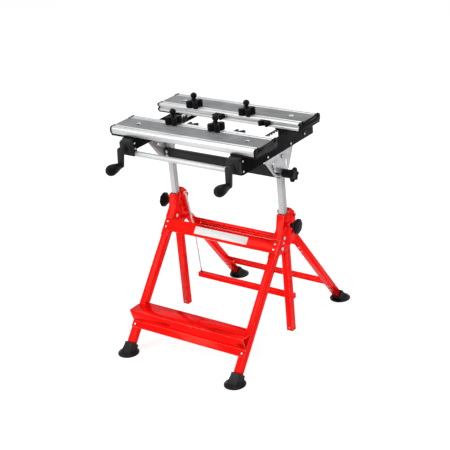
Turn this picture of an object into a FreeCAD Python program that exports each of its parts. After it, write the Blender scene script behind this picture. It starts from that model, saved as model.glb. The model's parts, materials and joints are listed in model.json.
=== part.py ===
import FreeCAD, Part
import os
import re

import Sketcher

# Height-adjustable clamping workbench with a tilting table. Millimetres, +Z up, +X to the right.
# The origin is on the floor, midway between the front and the rear feet.

DIMENSIONS = {
    # clearances shared by all fits
    "running_fit": 0.05,
    "running_gap": 0.3,
    "cut_overrun": 5,
    # lift columns: a square tube that slides in a fixed square sleeve
    "column_spacing": 484,
    "tube_width": 22,
    "tube_wall": 1.5,
    "tube_bottom": 150,
    "tube_over_pivot": 16,
    "sleeve_wall": 1.2,
    "sleeve_bottom": 35,
    "sleeve_top": 450,
    # pylons: pressed plates around each sleeve
    "pylon_plate": 3,
    "pylon_reach": 53,
    "pylon_low": 367,
    "pylon_high": 519,
    "pylon_web_low": 423,
    "guide_low": 485,
    "guide_height": 21,
    # legs and feet
    "front_reach": 372,
    "rear_reach": 352,
    "front_leg_lean": 38.66,
    "front_leg_depth": 30,
    "front_leg_top": 440,
    "rear_leg_depth": 25,
    "leg_wall": 1.5,
    "leg_end_rise": 22,
    "hinge_back": 36,
    "hinge_height": 421,
    "hinge_pin_radius": 4,
    "foot_radius": 40,
    "foot_dome_height": 16,
    "foot_dome_top_radius": 26,
    "foot_socket_width": 38,
    "foot_socket_length": 42,
    # bars between the legs
    "bar_sheet": 2,
    "bar_height": 40,
    "bar_flange": 9,
    "front_bar_height": 48,
    "front_bar_along": 479,
    "rear_upper_bar_along": 409,
    "rear_lower_bar_along": 94,
    "rear_upper_rivet_along": 412,
    "rear_lower_rivet_along": 110,
    "rear_rivet_spacing": 28,
    "rivet_spacing": 20,
    "rivet_radius": 4,
    "rivet_height": 1.6,
    # shelf
    "shelf_sheet": 2,
    "shelf_height": 155,
    "shelf_front": 323,
    "shelf_back": 245,
    "shelf_apron_low": 106,
    "shelf_lip_low": 86,
    "shelf_overhang": 1,
    # bolts
    "bolt_radius": 3,
    "bolt_head_radius": 6.5,
    "bolt_head_height": 4,
    # table pivot and rails
    "pivot_height": 726,
    "pivot_radius": 5,
    "pivot_head_radius": 7,
    "pivot_nut_radius": 7.5,
    "beam_drop": 76,
    "beam_height": 40,
    "beam_depth": 14.5,
    "beam_overhang": 10,
    "rail_rise": 78,
    "rail_width": 50,
    "rail_offset": 9,
    "rail_wall": 2,
    "rail_inner_height": 40,
    "rail_skirt_height": 62,
    "rail_front": 243,
    "rail_back": 203,
    "end_block_depth": 19,
    "end_block_height": 55,
    "end_block_corner": 9,
    "end_plug_length": 28,
    "end_block_step": 2,
    "front_tube_radius": 9.5,
    "front_tube_back": 7,
    "front_tube_drop": 54,
    "rack_thickness": 4,
    "rack_low_drop": 29,
    "rack_height": 22.5,
    "rack_tooth_height": 7.5,
    "rack_pitch": 15.7,
    "rack_front": 200,
    "rack_back": 190,
    # tilt plates
    "tilt_plate_sheet": 2.6,
    "tilt_radius": 64,
    "tilt_slot_width": 7,
    "tilt_slot_angle": 77,
    "tilt_tip_radius": 19,
    "tilt_plate_top_front": 107,
    "tilt_plate_top_back": 72,
    "tilt_stud_radius": 3,
    "tilt_relief_back": 23,
    "tilt_relief_drop": 42,
    "tilt_relief_length": 20,
    "tilt_relief_width": 8.5,
    "tilt_eye_front": 55,
    "tilt_eye_drop": 10.4,
    "tilt_eye_radius": 4,
    # jaws
    "jaw_length": 620,
    "jaw_width": 133,
    "jaw_height": 28,
    "jaw_gap": 142,
    "jaw_nose_front": 239.4,
    "jaw_chamfer": 8,
    "slot_edge": 17,
    "slot_opening": 6,
    "slot_inner": 14,
    "slot_lip": 5,
    "slot_depth": 12,
    "inlay_edge": 27,
    "inlay_depth": 2,
    "inlay_sheet": 1.4,
    "jaw_skin": 3,
    "jaw_vee_depth": 8,
    "jaw_vee_low": 8,
    "jaw_vee_high": 20,
    "dog_hole_radius": 10,
    "dog_hole_spacing": 470,
    "end_cap_thickness": 3,
    "shoe_overhang": 2,
    "shoe_thickness": 5.6,
    "shoe_lift": 0.4,
    "shoe_margin": 4,
    "nut_along": 85,
    "nut_length": 40,
    "nut_height": 38,
    "catch_arm_height": 6,
    # spindles, cranks and grips
    "spindle_radius": 6,
    "spindle_spacing": 466,
    "spindle_drop": 30,
    "spindle_back": 190,
    "crank_boss_radius": 11,
    "crank_boss_length": 17,
    "crank_thickness": 12,
    "crank_length": 56,
    "crank_hub_width": 26,
    "crank_tip_width": 22,
    "crank_cover": 2.5,
    "left_crank_turn": -7,
    "right_crank_turn": 4,
    "grip_length": 68,
    "grip_radius": 18.5,
    "grip_pin_radius": 4,
    # knobs
    "knob_stud_radius": 3,
    "tilt_knob_hub_radius": 12.5,
    "tilt_knob_hub_length": 32,
    "tilt_knob_radius": 26.5,
    "tilt_knob_thickness": 18,
    "height_knob_hub_radius": 11,
    "height_knob_hub_length": 30,
    "height_knob_radius": 26,
    "height_knob_thickness": 20,
    "height_knob_height": 465,
    # pawls and release
    "pawl_back": 46.5,
    "pawl_height": 484,
    "pawl_pin_radius": 4,
    "pawl_reach": 35.2,
    "pawl_rise": 35,
    "release_pin_forward": 27.5,
    "release_pin_rise": 19,
    "release_pin_radius": 2.25,
    "release_travel": 8,
    "release_swing": 4.5,
    "release_x": 210,
    "strap_width": 10,
    "strap_sheet": 3,
    "strap_low": 362,
    "strap_back": 47,
    "release_rod_radius": 2.25,
    "release_bar_back": 67,
    "release_bar_height": 137,
    "release_bar_width": 20,
    "release_bar_end": 11,
    # clamping dogs and vee blocks
    "dog_width": 47,
    "dog_height": 27,
    "dog_stem_radius": 2.6,
    "dog_foot_radius": 6.5,
    "dog_foot_height": 6,
    "dog_screw_radius": 4,
    "dog_collar_radius": 5.5,
    "dog_collar_height": 5,
    "dog_knob_radius": 12,
    "dog_knob_height": 23,
    "front_left_dog_x": -112,
    "front_right_dog_x": 74,
    "rear_left_dog_x": -151,
    "rear_right_dog_x": 82,
    "vee_block_length": 37,
    "vee_block_depth": 24,
    "vee_block_height": 19,
    "front_left_vee_x": -52,
    "front_right_vee_x": 149,
    "rear_left_vee_x": -25,
    "rear_right_vee_x": 173,
}

PLACES = {
    "column_y": "(front_reach - rear_reach) / 2",
    "column_x": "column_spacing / 2",
    "sleeve_width": "tube_width + 2 * (running_gap + sleeve_wall)",
    "sleeve_half": "sleeve_width / 2",
    "rear_leg_half": "sleeve_half - running_gap",
    "pylon_half": "sleeve_half + pylon_plate",
    "rear_leg_lean": "atan((rear_reach - hinge_back) / hinge_height) / 1 deg",
    "front_leg_rate": "tan(front_leg_lean)",
    "front_leg_half": "front_leg_depth / 2 / cos(front_leg_lean)",
    "tube_top": "pivot_height + tube_over_pivot",
    "beam_low": "pivot_height - beam_drop",
    "rail_top": "pivot_height + rail_rise",
    "rail_floor": "rail_top - rail_inner_height",
    "rail_inner": "column_x - rail_width / 2 - rail_offset",
    "rail_outer": "column_x + rail_width / 2 - rail_offset",
    "shoe_bottom": "rail_top + shoe_lift",
    "jaw_bottom": "shoe_bottom + shoe_thickness",
    "jaw_top": "jaw_bottom + jaw_height",
    "front_jaw_face": "jaw_width - jaw_nose_front",
    "rear_jaw_face": "front_jaw_face + jaw_gap",
    "rear_jaw_nose": "rear_jaw_face + jaw_width",
    "spindle_x": "spindle_spacing / 2",
    "spindle_z": "rail_top - spindle_drop",
    "block_front": "rail_front + end_block_depth",
    "crank_back": "block_front + running_gap + crank_boss_length",
    "crank_front": "crank_back + crank_thickness",
    "tilt_stud_z": "pivot_height - tilt_radius",
    "pylon_height": "pylon_high - pylon_low",
    "release_pin_y": "pawl_back - release_pin_forward",
    "release_pin_z": "pawl_height + release_pin_rise",
    "knob_seat": "column_x + pylon_half + running_gap",
    "tilt_knob_seat": "rail_outer - rail_wall + running_gap",
    "vee_middle": "jaw_bottom + (jaw_vee_low + jaw_vee_high) / 2",
}

SIDES = {"left": -1, "right": 1}
# the side with the tilt knob, whose stud runs in the arc slot of the tilt plate
CLAMPED_SIDE = "right"

document = FreeCAD.newDocument("workbench")
sizes = document.addObject("Spreadsheet::Sheet", "sizes")
places = document.addObject("Spreadsheet::Sheet", "places")
nodes = {}


def linked(text):
    """An expression in plain names, with each name led back to its sheet."""
    def sheet_name(match):
        word = match.group()
        if word in DIMENSIONS:
            return "sizes." + word
        if word in PLACES:
            return "places." + word
        return word
    return re.sub(r"[a-z_]+", sheet_name, str(text))


def value(text):
    """The number that an expression gives now."""
    result = sizes.evalExpression(linked(text))
    return float(getattr(result, "Value", result))


def fill_sheets():
    for row, (name, number) in enumerate(DIMENSIONS.items(), start=1):
        sizes.set(f"A{row}", name)
        sizes.set(f"B{row}", str(number))
        sizes.setAlias(f"B{row}", name)
    document.recompute()
    for row, (name, formula) in enumerate(PLACES.items(), start=1):
        places.set(f"A{row}", name)
        places.set(f"B{row}", "=" + linked(formula).replace("places.", ""))
        places.setAlias(f"B{row}", name)
        document.recompute()


def bind(thing, settings):
    for setting, text in settings.items():
        thing.setExpression(setting, linked(text))


# Building blocks

def origin_plane(body, role):
    for feature in body.Origin.OriginFeatures:
        if feature.Role == role:
            return feature
    raise ValueError(role)


def draw_loop(sketch, outline):
    """A closed run of straight edges through points given as pairs of expressions."""
    spots = [FreeCAD.Vector(value(across), value(up), 0) for across, up in outline]
    first = sketch.GeometryCount
    count = len(spots)
    for index, spot in enumerate(spots):
        sketch.addGeometry(Part.LineSegment(spot, spots[(index + 1) % count]))
    for index in range(count):
        following = first + (index + 1) % count
        sketch.addConstraint(Sketcher.Constraint("Coincident", first + index, 2, following, 1))
    for index, (across, up) in enumerate(outline):
        spot = spots[index]
        for kind, text, number in (("DistanceX", across, spot.x), ("DistanceY", up, spot.y)):
            rule = Sketcher.Constraint(kind, -1, 1, first + index, 1, number)
            place = sketch.addConstraint(rule)
            sketch.setExpression(f"Constraints[{place}]", linked(text))


def draw_circle(sketch, across, up, radius):
    centre = FreeCAD.Vector(value(across), value(up), 0)
    circle = sketch.addGeometry(Part.Circle(centre, FreeCAD.Vector(0, 0, 1), value(radius)))
    for kind, text, number in (("DistanceX", across, centre.x), ("DistanceY", up, centre.y)):
        place = sketch.addConstraint(Sketcher.Constraint(kind, -1, 1, circle, 3, number))
        sketch.setExpression(f"Constraints[{place}]", linked(text))
    place = sketch.addConstraint(Sketcher.Constraint("Radius", circle, value(radius)))
    sketch.setExpression(f"Constraints[{place}]", linked(radius))


def prism(name, plane, outline, low, high, holes=(), loops=()):
    """An outline swept square to its plane, from low to high along the third axis."""
    body = document.addObject("PartDesign::Body", name)
    sketch = body.newObject("Sketcher::SketchObject", name + "_outline")
    sketch.AttachmentSupport = [(origin_plane(body, plane + "_Plane"), "")]
    sketch.MapMode = "FlatFace"
    start = f"-({high})" if plane == "XZ" else low
    bind(sketch, {"AttachmentOffset.Base.z": start})
    draw_loop(sketch, outline)
    for loop in loops:
        draw_loop(sketch, loop)
    for across, up, radius in holes:
        draw_circle(sketch, across, up, radius)
    pad = body.newObject("PartDesign::Pad", name + "_pad")
    pad.Profile = sketch
    bind(pad, {"Length": f"({high}) - ({low})"})
    body.Tip = pad
    return body


def block(name, across, along, up):
    """A box between pairs of expressions in x, y and z."""
    box = document.addObject("Part::Box", name)
    bind(box, {"Length": f"({across[1]}) - ({across[0]})",
               "Width": f"({along[1]}) - ({along[0]})",
               "Height": f"({up[1]}) - ({up[0]})",
               "Placement.Base.x": across[0],
               "Placement.Base.y": along[0],
               "Placement.Base.z": up[0]})
    return box


TURNS = {"x": FreeCAD.Rotation(FreeCAD.Vector(0, 1, 0), 90),
         "y": FreeCAD.Rotation(FreeCAD.Vector(1, 0, 0), -90),
         "z": FreeCAD.Rotation()}


def turned(thing, axis, low, place):
    """Stands a round thing along an axis; place gives the two other coordinates in order."""
    thing.Placement = FreeCAD.Placement(FreeCAD.Vector(), TURNS[axis])
    others = [letter for letter in "xyz" if letter != axis]
    bind(thing, {"Placement.Base." + axis: low,
                 "Placement.Base." + others[0]: place[0],
                 "Placement.Base." + others[1]: place[1]})
    return thing


def rod(name, axis, radius, low, high, place):
    cylinder = document.addObject("Part::Cylinder", name)
    bind(cylinder, {"Radius": radius, "Height": f"({high}) - ({low})"})
    return turned(cylinder, axis, low, place)


def cone(name, axis, low_radius, high_radius, low, high, place):
    shape = document.addObject("Part::Cone", name)
    bind(shape, {"Radius1": low_radius, "Radius2": high_radius, "Height": f"({high}) - ({low})"})
    return turned(shape, axis, low, place)


def fused(name, pieces):
    result = document.addObject("Part::MultiFuse", name)
    result.Shapes = pieces
    result.Refine = True
    return result


def without(name, base, tools):
    result = document.addObject("Part::Cut", name)
    result.Base = base
    result.Tool = tools[0] if len(tools) == 1 else fused(name + "_tools", tools)
    return result


def node(label, pieces):
    """Names a finished sub-part and sets it on the column line."""
    result = document.addObject("Part::Compound", label)
    result.Links = pieces
    result.Label = label
    bind(result, {"Placement.Base.y": "column_y"})
    nodes[label] = result
    return result


def side_span(sign, inner, outer):
    """The x range of a piece that lies from inner to outer on one side."""
    if sign > 0:
        return inner, outer
    return f"-({outer})", f"-({inner})"


def leaning(foot, lean, along, across):
    """A point a way up a leg from the floor and square to it, as y and z expressions."""
    return (f"({foot}) + ({along}) * sin({lean}) + ({across}) * cos({lean})",
            f"({along}) * cos({lean}) - ({across}) * sin({lean})")


def front_leg_point(along, across):
    return leaning("-front_reach", "front_leg_lean", along, across)


def rear_leg_point(along, across):
    return leaning("rear_reach", "-rear_leg_lean", along, across)


def bolt(name, axis, head_side, seat, tip, place, shank_radius, head_radius, head_height):
    """A shank from its seat to its tip, with a flat head beyond the seat."""
    low, high = (tip, seat) if head_side > 0 else (seat, tip)
    shank = rod(name + "_shank", axis, shank_radius, low, high, place)
    if head_side > 0:
        head = rod(name + "_head", axis, head_radius, seat, f"({seat}) + ({head_height})", place)
    else:
        head = rod(name + "_head", axis, head_radius, f"({seat}) - ({head_height})", seat, place)
    return fused(name, [shank, head])


# Base frame: sleeves, pylons, front legs, shelf

def make_sleeves():
    pieces = []
    for side, sign in SIDES.items():
        outer = block(side + "_sleeve_outer",
                      side_span(sign, "column_x - sleeve_half", "column_x + sleeve_half"),
                      ("-sleeve_half", "sleeve_half"), ("sleeve_bottom", "sleeve_top"))
        hollow = "tube_width / 2 + running_gap"
        inner = block(side + "_sleeve_hollow",
                      side_span(sign, f"column_x - ({hollow})", f"column_x + {hollow}"),
                      (f"-({hollow})", hollow),
                      ("sleeve_bottom - cut_overrun", "sleeve_top + cut_overrun"))
        pieces.append(without(side + "_sleeve", outer, [inner]))
    node("sleeves", pieces)


# Pylon outline from its front top, down the front, along the foot and up the back, as shares of
# its reach from the column line and of its height.
pylon_front_shares = ((-0.38, 0.91), (-0.585, 0.58))
pylon_back_shares = ((-0.2, 0.02), (0.25, 0.1), (0.85, 0.19), (1.0, 0.28), (0.98, 0.78),
                     (0.87, 0.9), (0.72, 0.85), (0.49, 1.0), (0.15, 0.915))
pylon_bolt_shares = ((-0.53, 0.37), (-0.85, 0.14))
pylon_rivet_share = (-0.66, 0.255)


def pylon_point(share):
    return f"pylon_reach * ({share[0]})", f"pylon_low + pylon_height * ({share[1]})"


def leg_front_at(height):
    return f"(({height}) * front_leg_rate - front_reach - front_leg_half)"


def pylon_outline(web):
    """The side view of a pylon, with its front edge set back by a web."""
    depth = f"{web} / cos(front_leg_lean)"
    outline = [(f"{across} + {web}", up) for across, up in map(pylon_point, pylon_front_shares)]
    outline.append((f"{leg_front_at('pylon_web_low')} - pylon_plate / cos(front_leg_lean) + {depth}",
                    "pylon_web_low"))
    return outline


def make_pylons():
    for side, sign in SIDES.items():
        holes = [("0", "height_knob_height", "knob_stud_radius + running_gap"),
                 ("hinge_back", "hinge_height", "hinge_pin_radius"),
                 ("pawl_back", "pawl_height", "pawl_pin_radius")]
        holes += [(*pylon_point(share), "bolt_radius") for share in pylon_bolt_shares]
        outline = pylon_outline("0")
        outline.append((leg_front_at("pylon_web_low"), "pylon_web_low"))
        outline.append((leg_front_at("pylon_low"), "pylon_low"))
        outline += [pylon_point(share) for share in pylon_back_shares]
        plates = prism(side + "_pylon_plates", "YZ", outline,
                       *side_span(sign, "column_x - pylon_half", "column_x + pylon_half"), holes=holes)
        inside = pylon_outline("pylon_plate")
        inside.append(("pylon_reach + cut_overrun", "pylon_web_low"))
        inside.append(("pylon_reach + cut_overrun", "pylon_high + cut_overrun"))
        inside.append(("-pylon_reach / 2", "pylon_high + cut_overrun"))
        upper = prism(side + "_pylon_inside", "YZ", inside,
                      *side_span(sign, "column_x - sleeve_half", "column_x + sleeve_half"))
        lower = block(side + "_pylon_mouth",
                      side_span(sign, "column_x - sleeve_half", "column_x + sleeve_half"),
                      ("-front_reach", "pylon_reach + cut_overrun"),
                      ("pylon_low - cut_overrun", "pylon_web_low"))
        play = "(release_pin_radius + running_gap)"
        window = block(side + "_pylon_window",
                       side_span(sign, "column_x - pylon_half - cut_overrun", "column_x"),
                       (f"release_pin_y - release_swing - {play}", f"release_pin_y + {play}"),
                       (f"release_pin_z - release_travel * 1.2 - {play}", f"release_pin_z + {play}"))
        node(side + "_pylon", [without(side + "_pylon_pressing", plates, [upper, lower, window])])


def front_leg_outline(inset, foot_end):
    half = f"(front_leg_depth / 2 - {inset})"
    level = f"{half} / cos(front_leg_lean)"
    top = f"front_leg_top - {inset}"
    back = f"sleeve_half + {inset}"
    return [front_leg_point(foot_end, f"-{half}"),
            (f"({top}) * front_leg_rate - front_reach - {level}", top),
            (f"-({back})", top),
            (f"-({back})", f"(front_reach - ({back}) - {level}) / front_leg_rate"),
            front_leg_point(foot_end, half)]


def make_front_legs():
    pieces = []
    for side, sign in SIDES.items():
        outer = prism(side + "_front_leg_outer", "YZ", front_leg_outline("0", "leg_end_rise"),
                      *side_span(sign, "column_x - sleeve_half", "column_x + sleeve_half"))
        hollow = prism(side + "_front_leg_hollow", "YZ",
                       front_leg_outline("leg_wall", "leg_end_rise - cut_overrun"),
                       *side_span(sign, "column_x - sleeve_half + leg_wall",
                                  "column_x + sleeve_half - leg_wall"))
        pieces.append(without(side + "_front_leg", outer, [hollow]))
    node("front_legs", pieces)


def make_feet(label, reach, point, depth, half_width):
    """Two ground shoes, each a dome with a socket that holds the end of its leg."""
    pieces = []
    for side, sign in SIDES.items():
        name = side + "_" + label
        x_place = f"{sign} * column_x"
        dome = cone(name + "_dome", "z", "foot_radius", "foot_dome_top_radius", "0",
                    "foot_dome_height", (x_place, reach))
        half = "foot_socket_width / 2"
        socket_outline = [point("foot_socket_length", f"-{half}"),
                          point("foot_socket_length", half),
                          (f"({reach}) + foot_dome_top_radius * cos(45)", "foot_dome_height / 2"),
                          (f"({reach}) - foot_dome_top_radius * cos(45)", "foot_dome_height / 2")]
        socket = prism(name + "_socket", "YZ", socket_outline,
                       *side_span(sign, f"column_x - {half}", f"column_x + {half}"))
        mouth_outline = [point("leg_end_rise", f"-{depth} / 2"),
                         point("leg_end_rise", f"{depth} / 2"),
                         point("foot_socket_length + cut_overrun", f"{depth} / 2"),
                         point("foot_socket_length + cut_overrun", f"-{depth} / 2")]
        mouth = prism(name + "_mouth", "YZ", mouth_outline,
                      *side_span(sign, f"column_x - {half_width}", f"column_x + {half_width}"))
        pieces.append(without(name, fused(name + "_solid", [dome, socket]), [mouth]))
    node(label, pieces)


def bar_outline(point, along, height, face, sheet):
    """The web of a bar that lies on the face of a leg, with the face's distance signed."""
    top = f"{along} + {height}"
    return [point(along, face), point(top, face), point(top, f"{face} + ({sheet})"),
            point(along, f"{face} + ({sheet})")]


def bar_flange(name, point, along, face, reach, inner):
    outline = [point(along, face), point(f"{along} + bar_sheet", face),
               point(f"{along} + bar_sheet", reach), point(along, reach)]
    return prism(name, "YZ", outline, f"-({inner})", inner)


def make_leg_bar(label, point, along, height, reach, face, sheet, flange_reach):
    """A pressed bar across a pair of legs: a web on the legs and two edges folded in between them."""
    web = prism(label + "_web", "YZ", bar_outline(point, along, height, face, sheet),
                f"-({reach})", reach)
    inner = "column_x - pylon_half - running_gap"
    lower = bar_flange(label + "_lower_fold", point, along, face, flange_reach, inner)
    upper = bar_flange(label + "_upper_fold", point, f"{along} + {height} - bar_sheet", face,
                       flange_reach, inner)
    node(label, [fused(label + "_pressing", [web, lower, upper])])


def make_leg_rivets(name, point, centre, spacing, face, outward):
    """Pairs of round rivet heads around a place along each leg."""
    heads = []
    for side, sign in SIDES.items():
        for rank, shift in (("low", f"-{spacing} / 2"), ("high", f"{spacing} / 2")):
            middle = f"{centre} + ({shift})"
            outline = [point(f"{middle} - rivet_radius", face), point(f"{middle} + rivet_radius", face),
                       point(f"{middle} + rivet_radius / 2", f"{face} + ({outward})"),
                       point(f"{middle} - rivet_radius / 2", f"{face} + ({outward})")]
            x_place = f"{sign} * column_x"
            heads.append(prism(f"{name}_{side}_{rank}", "YZ", outline,
                               f"{x_place} - rivet_radius", f"{x_place} + rivet_radius"))
    return heads


def make_shelf():
    thick = "shelf_sheet / cos(front_leg_lean)"
    lip_foot = leg_front_at("shelf_lip_low")
    lip_head = leg_front_at("shelf_apron_low")
    outline = [("-shelf_back", "shelf_height"), ("-shelf_front", "shelf_height"),
               (f"{lip_head} - {thick}", "shelf_apron_low"), (f"{lip_foot} - {thick}", "shelf_lip_low"),
               (lip_foot, "shelf_lip_low"), (lip_head, "shelf_apron_low"),
               ("-shelf_front + shelf_sheet * 1.1", "shelf_height - shelf_sheet"),
               ("-shelf_back", "shelf_height - shelf_sheet")]
    half = "column_x + sleeve_half + shelf_overhang"
    sheet = prism("shelf_sheet_metal", "YZ", outline, f"-({half})", half)
    notches = []
    for side, sign in SIDES.items():
        notches.append(block(side + "_shelf_notch",
                             side_span(sign, "column_x - sleeve_half - running_gap",
                                       f"{half} + cut_overrun"),
                             (f"{leg_front_at('shelf_height - shelf_sheet')} - running_gap",
                              "-shelf_back + cut_overrun"),
                             ("shelf_height - shelf_sheet - cut_overrun", "shelf_height + cut_overrun")))
    node("shelf", [without("shelf_pressing", sheet, notches)])


def make_frame_bolts():
    """Hinge pins, pawl pins, pylon bolts and rivets, and the shelf bolts."""
    pieces = []
    outer = "column_x + pylon_half"
    inner = "column_x - pylon_half"
    for side, sign in SIDES.items():
        for name, place, radius in (("hinge", ("hinge_back", "hinge_height"), "hinge_pin_radius"),
                                    ("pawl", ("pawl_back", "pawl_height"), "pawl_pin_radius")):
            shank = rod(f"{side}_{name}_pin_shank", "x", radius, *side_span(sign, inner, outer), place)
            outer_head = rod(f"{side}_{name}_pin_head", "x", "bolt_head_radius",
                             *side_span(sign, outer, f"{outer} + bolt_head_height"), place)
            inner_head = rod(f"{side}_{name}_pin_nut", "x", "bolt_head_radius",
                             *side_span(sign, f"{inner} - bolt_head_height", inner), place)
            pieces.append(fused(f"{side}_{name}_pin", [shank, outer_head, inner_head]))
        for rank, share in enumerate(pylon_bolt_shares):
            place = pylon_point(share)
            pieces.append(bolt(f"{side}_pylon_bolt_{rank}", "x", sign, f"{sign} * ({outer})",
                               f"{sign} * (column_x + sleeve_half)", place, "bolt_radius",
                               "bolt_head_radius", "bolt_head_height"))
            pieces.append(bolt(f"{side}_pylon_nut_{rank}", "x", -sign, f"{sign} * ({inner})",
                               f"{sign} * (column_x - sleeve_half)", place, "bolt_radius",
                               "bolt_head_radius", "bolt_head_height"))
        place = pylon_point(pylon_rivet_share)
        pieces.append(rod(f"{side}_pylon_rivet", "x", "rivet_radius",
                          *side_span(sign, outer, f"{outer} + rivet_height"), place))
    pieces += make_leg_rivets("front_bar_rivet", front_leg_point,
                              "front_bar_along + front_bar_height / 2", "rivet_spacing",
                              "-(front_leg_depth / 2 + bar_sheet)", "-rivet_height")
    middle = "(shelf_lip_low + shelf_apron_low) / 2"
    depth = "(front_leg_depth / 2 + shelf_sheet)"
    for side, sign in SIDES.items():
        face = f"-{depth}"
        along = f"({middle} - {depth} * sin(front_leg_lean)) / cos(front_leg_lean)"
        outline = [front_leg_point(f"{along} - rivet_radius", face),
                   front_leg_point(f"{along} + rivet_radius", face),
                   front_leg_point(f"{along} + rivet_radius", f"{face} - rivet_height"),
                   front_leg_point(f"{along} - rivet_radius", f"{face} - rivet_height")]
        x_place = f"{sign} * column_x"
        pieces.append(prism(f"{side}_shelf_bolt", "YZ", outline,
                            f"{x_place} - rivet_radius", f"{x_place} + rivet_radius"))
    node("frame_bolts", pieces)


def make_tube_guides():
    """Plastic collars around the front and sides of each lift tube, open where the pawl bears."""
    pieces = []
    slide = "tube_width / 2 + running_gap"
    for side, sign in SIDES.items():
        collar = block(side + "_guide_collar",
                       side_span(sign, "column_x - sleeve_half", "column_x + sleeve_half"),
                       ("-sleeve_half", "tube_width / 2 - sleeve_wall"),
                       ("guide_low", "guide_low + guide_height"))
        hollow = block(side + "_guide_hollow",
                       side_span(sign, f"column_x - ({slide})", f"column_x + {slide}"),
                       (f"-({slide})", "tube_width"),
                       ("guide_low - cut_overrun", "guide_low + guide_height + cut_overrun"))
        pieces.append(without(side + "_guide", collar, [hollow]))
    node("tube_guides", pieces)


# Rear legs, which swing on the pylons

def rear_leg_outline(inset, foot_end, top_end):
    half = f"(rear_leg_depth / 2 - {inset})"
    length = "hinge_height / cos(rear_leg_lean)"
    return [rear_leg_point(foot_end, f"-{half}"), rear_leg_point(foot_end, half),
            rear_leg_point(f"{length} + {top_end} - rear_leg_depth / 4", half),
            rear_leg_point(f"{length} + {top_end}", f"{half} / 2"),
            rear_leg_point(f"{length} + {top_end}", f"-{half} / 2"),
            rear_leg_point(f"{length} + {top_end} - rear_leg_depth / 4", f"-{half}")]


def make_rear_legs():
    pieces = []
    for side, sign in SIDES.items():
        top = "rear_leg_depth / 2"
        outer = prism(side + "_rear_leg_outer", "YZ", rear_leg_outline("0", "leg_end_rise", top),
                      *side_span(sign, "column_x - rear_leg_half", "column_x + rear_leg_half"),
                      holes=[("hinge_back", "hinge_height", "hinge_pin_radius + running_fit")])
        hollow = prism(side + "_rear_leg_hollow", "YZ",
                       rear_leg_outline("leg_wall", "leg_end_rise - cut_overrun", f"{top} - leg_wall"),
                       *side_span(sign, "column_x - rear_leg_half + leg_wall",
                                  "column_x + rear_leg_half - leg_wall"))
        pieces.append(without(side + "_rear_leg", outer, [hollow]))
    node("rear_legs", pieces)


# Lift: tubes, cross beam and tilt pivots

def make_lift():
    tubes = []
    bolts = []
    for side, sign in SIDES.items():
        half = "tube_width / 2"
        inner = f"({half} - tube_wall)"
        outer_box = block(side + "_lift_tube_outer",
                          side_span(sign, f"column_x - {half}", f"column_x + {half}"),
                          (f"-{half}", half), ("tube_bottom", "tube_top"))
        hollow = block(side + "_lift_tube_hollow",
                       side_span(sign, f"column_x - {inner}", f"column_x + {inner}"),
                       (f"-{inner}", inner), ("tube_bottom - cut_overrun", "tube_top + cut_overrun"))
        tools = [hollow]
        bores = [("pivot", "pivot_height", "pivot_radius")]
        if side == CLAMPED_SIDE:
            bores.append(("stud", "tilt_stud_z", "tilt_stud_radius"))
        for name, height, radius in bores:
            tools.append(rod(f"{side}_{name}_bore", "x", radius,
                             *side_span(sign, f"column_x - {half} - cut_overrun",
                                        f"column_x + {half} + cut_overrun"), ("0", height)))
        tubes.append(without(side + "_lift_tube", outer_box, tools))
        pivot = rod(side + "_pivot_shank", "x", "pivot_radius",
                    *side_span(sign, f"column_x - {half}", "rail_outer + running_gap"),
                    ("0", "pivot_height"))
        head = rod(side + "_pivot_head", "x", "pivot_head_radius",
                   *side_span(sign, "rail_outer + running_gap", "rail_outer + running_gap + rivet_height"),
                   ("0", "pivot_height"))
        nut = rod(side + "_pivot_nut", "x", "pivot_nut_radius",
                  *side_span(sign, f"column_x - {half} - bolt_head_height", f"column_x - {half}"),
                  ("0", "pivot_height"))
        bolts.append(fused(side + "_pivot", [pivot, head, nut]))
        for rank, share in enumerate((0.3, 0.7)):
            bolts.append(bolt(f"{side}_beam_bolt_{rank}", "y", -1,
                              f"-({half} + beam_depth)", f"-({half} + beam_depth - bar_sheet)",
                              (f"{sign} * column_x", f"beam_low + beam_height * {share}"),
                              "bolt_radius", "bolt_head_radius", "bolt_head_height"))
    node("lift_tubes", tubes)
    node("lift_bolts", bolts)


def make_cross_beam():
    """A channel whose folded edges reach back to the tubes."""
    back = "tube_width / 2"
    half = "column_x + beam_overhang"
    outline = [(f"-({back} + beam_depth)", "beam_low"), (f"-{back}", "beam_low"),
               (f"-{back}", "beam_low + bar_sheet"),
               (f"-({back} + beam_depth - bar_sheet)", "beam_low + bar_sheet"),
               (f"-({back} + beam_depth - bar_sheet)", "beam_low + beam_height - bar_sheet"),
               (f"-{back}", "beam_low + beam_height - bar_sheet"),
               (f"-{back}", "beam_low + beam_height"),
               (f"-({back} + beam_depth)", "beam_low + beam_height")]
    channel = prism("cross_beam_channel", "YZ", outline, f"-({half})", half)
    bores = []
    for side, sign in SIDES.items():
        for rank, share in enumerate((0.3, 0.7)):
            bores.append(rod(f"{side}_beam_bore_{rank}", "y", "bolt_radius",
                             f"-({back} + beam_depth + cut_overrun)", f"-({back} + beam_depth / 2)",
                             (f"{sign} * column_x", f"beam_low + beam_height * {share}")))
    node("cross_beam", [without("cross_beam_drilled", channel, bores)])


# Tilting table: rails, tilt plates, front tube, end blocks, racks

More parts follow.
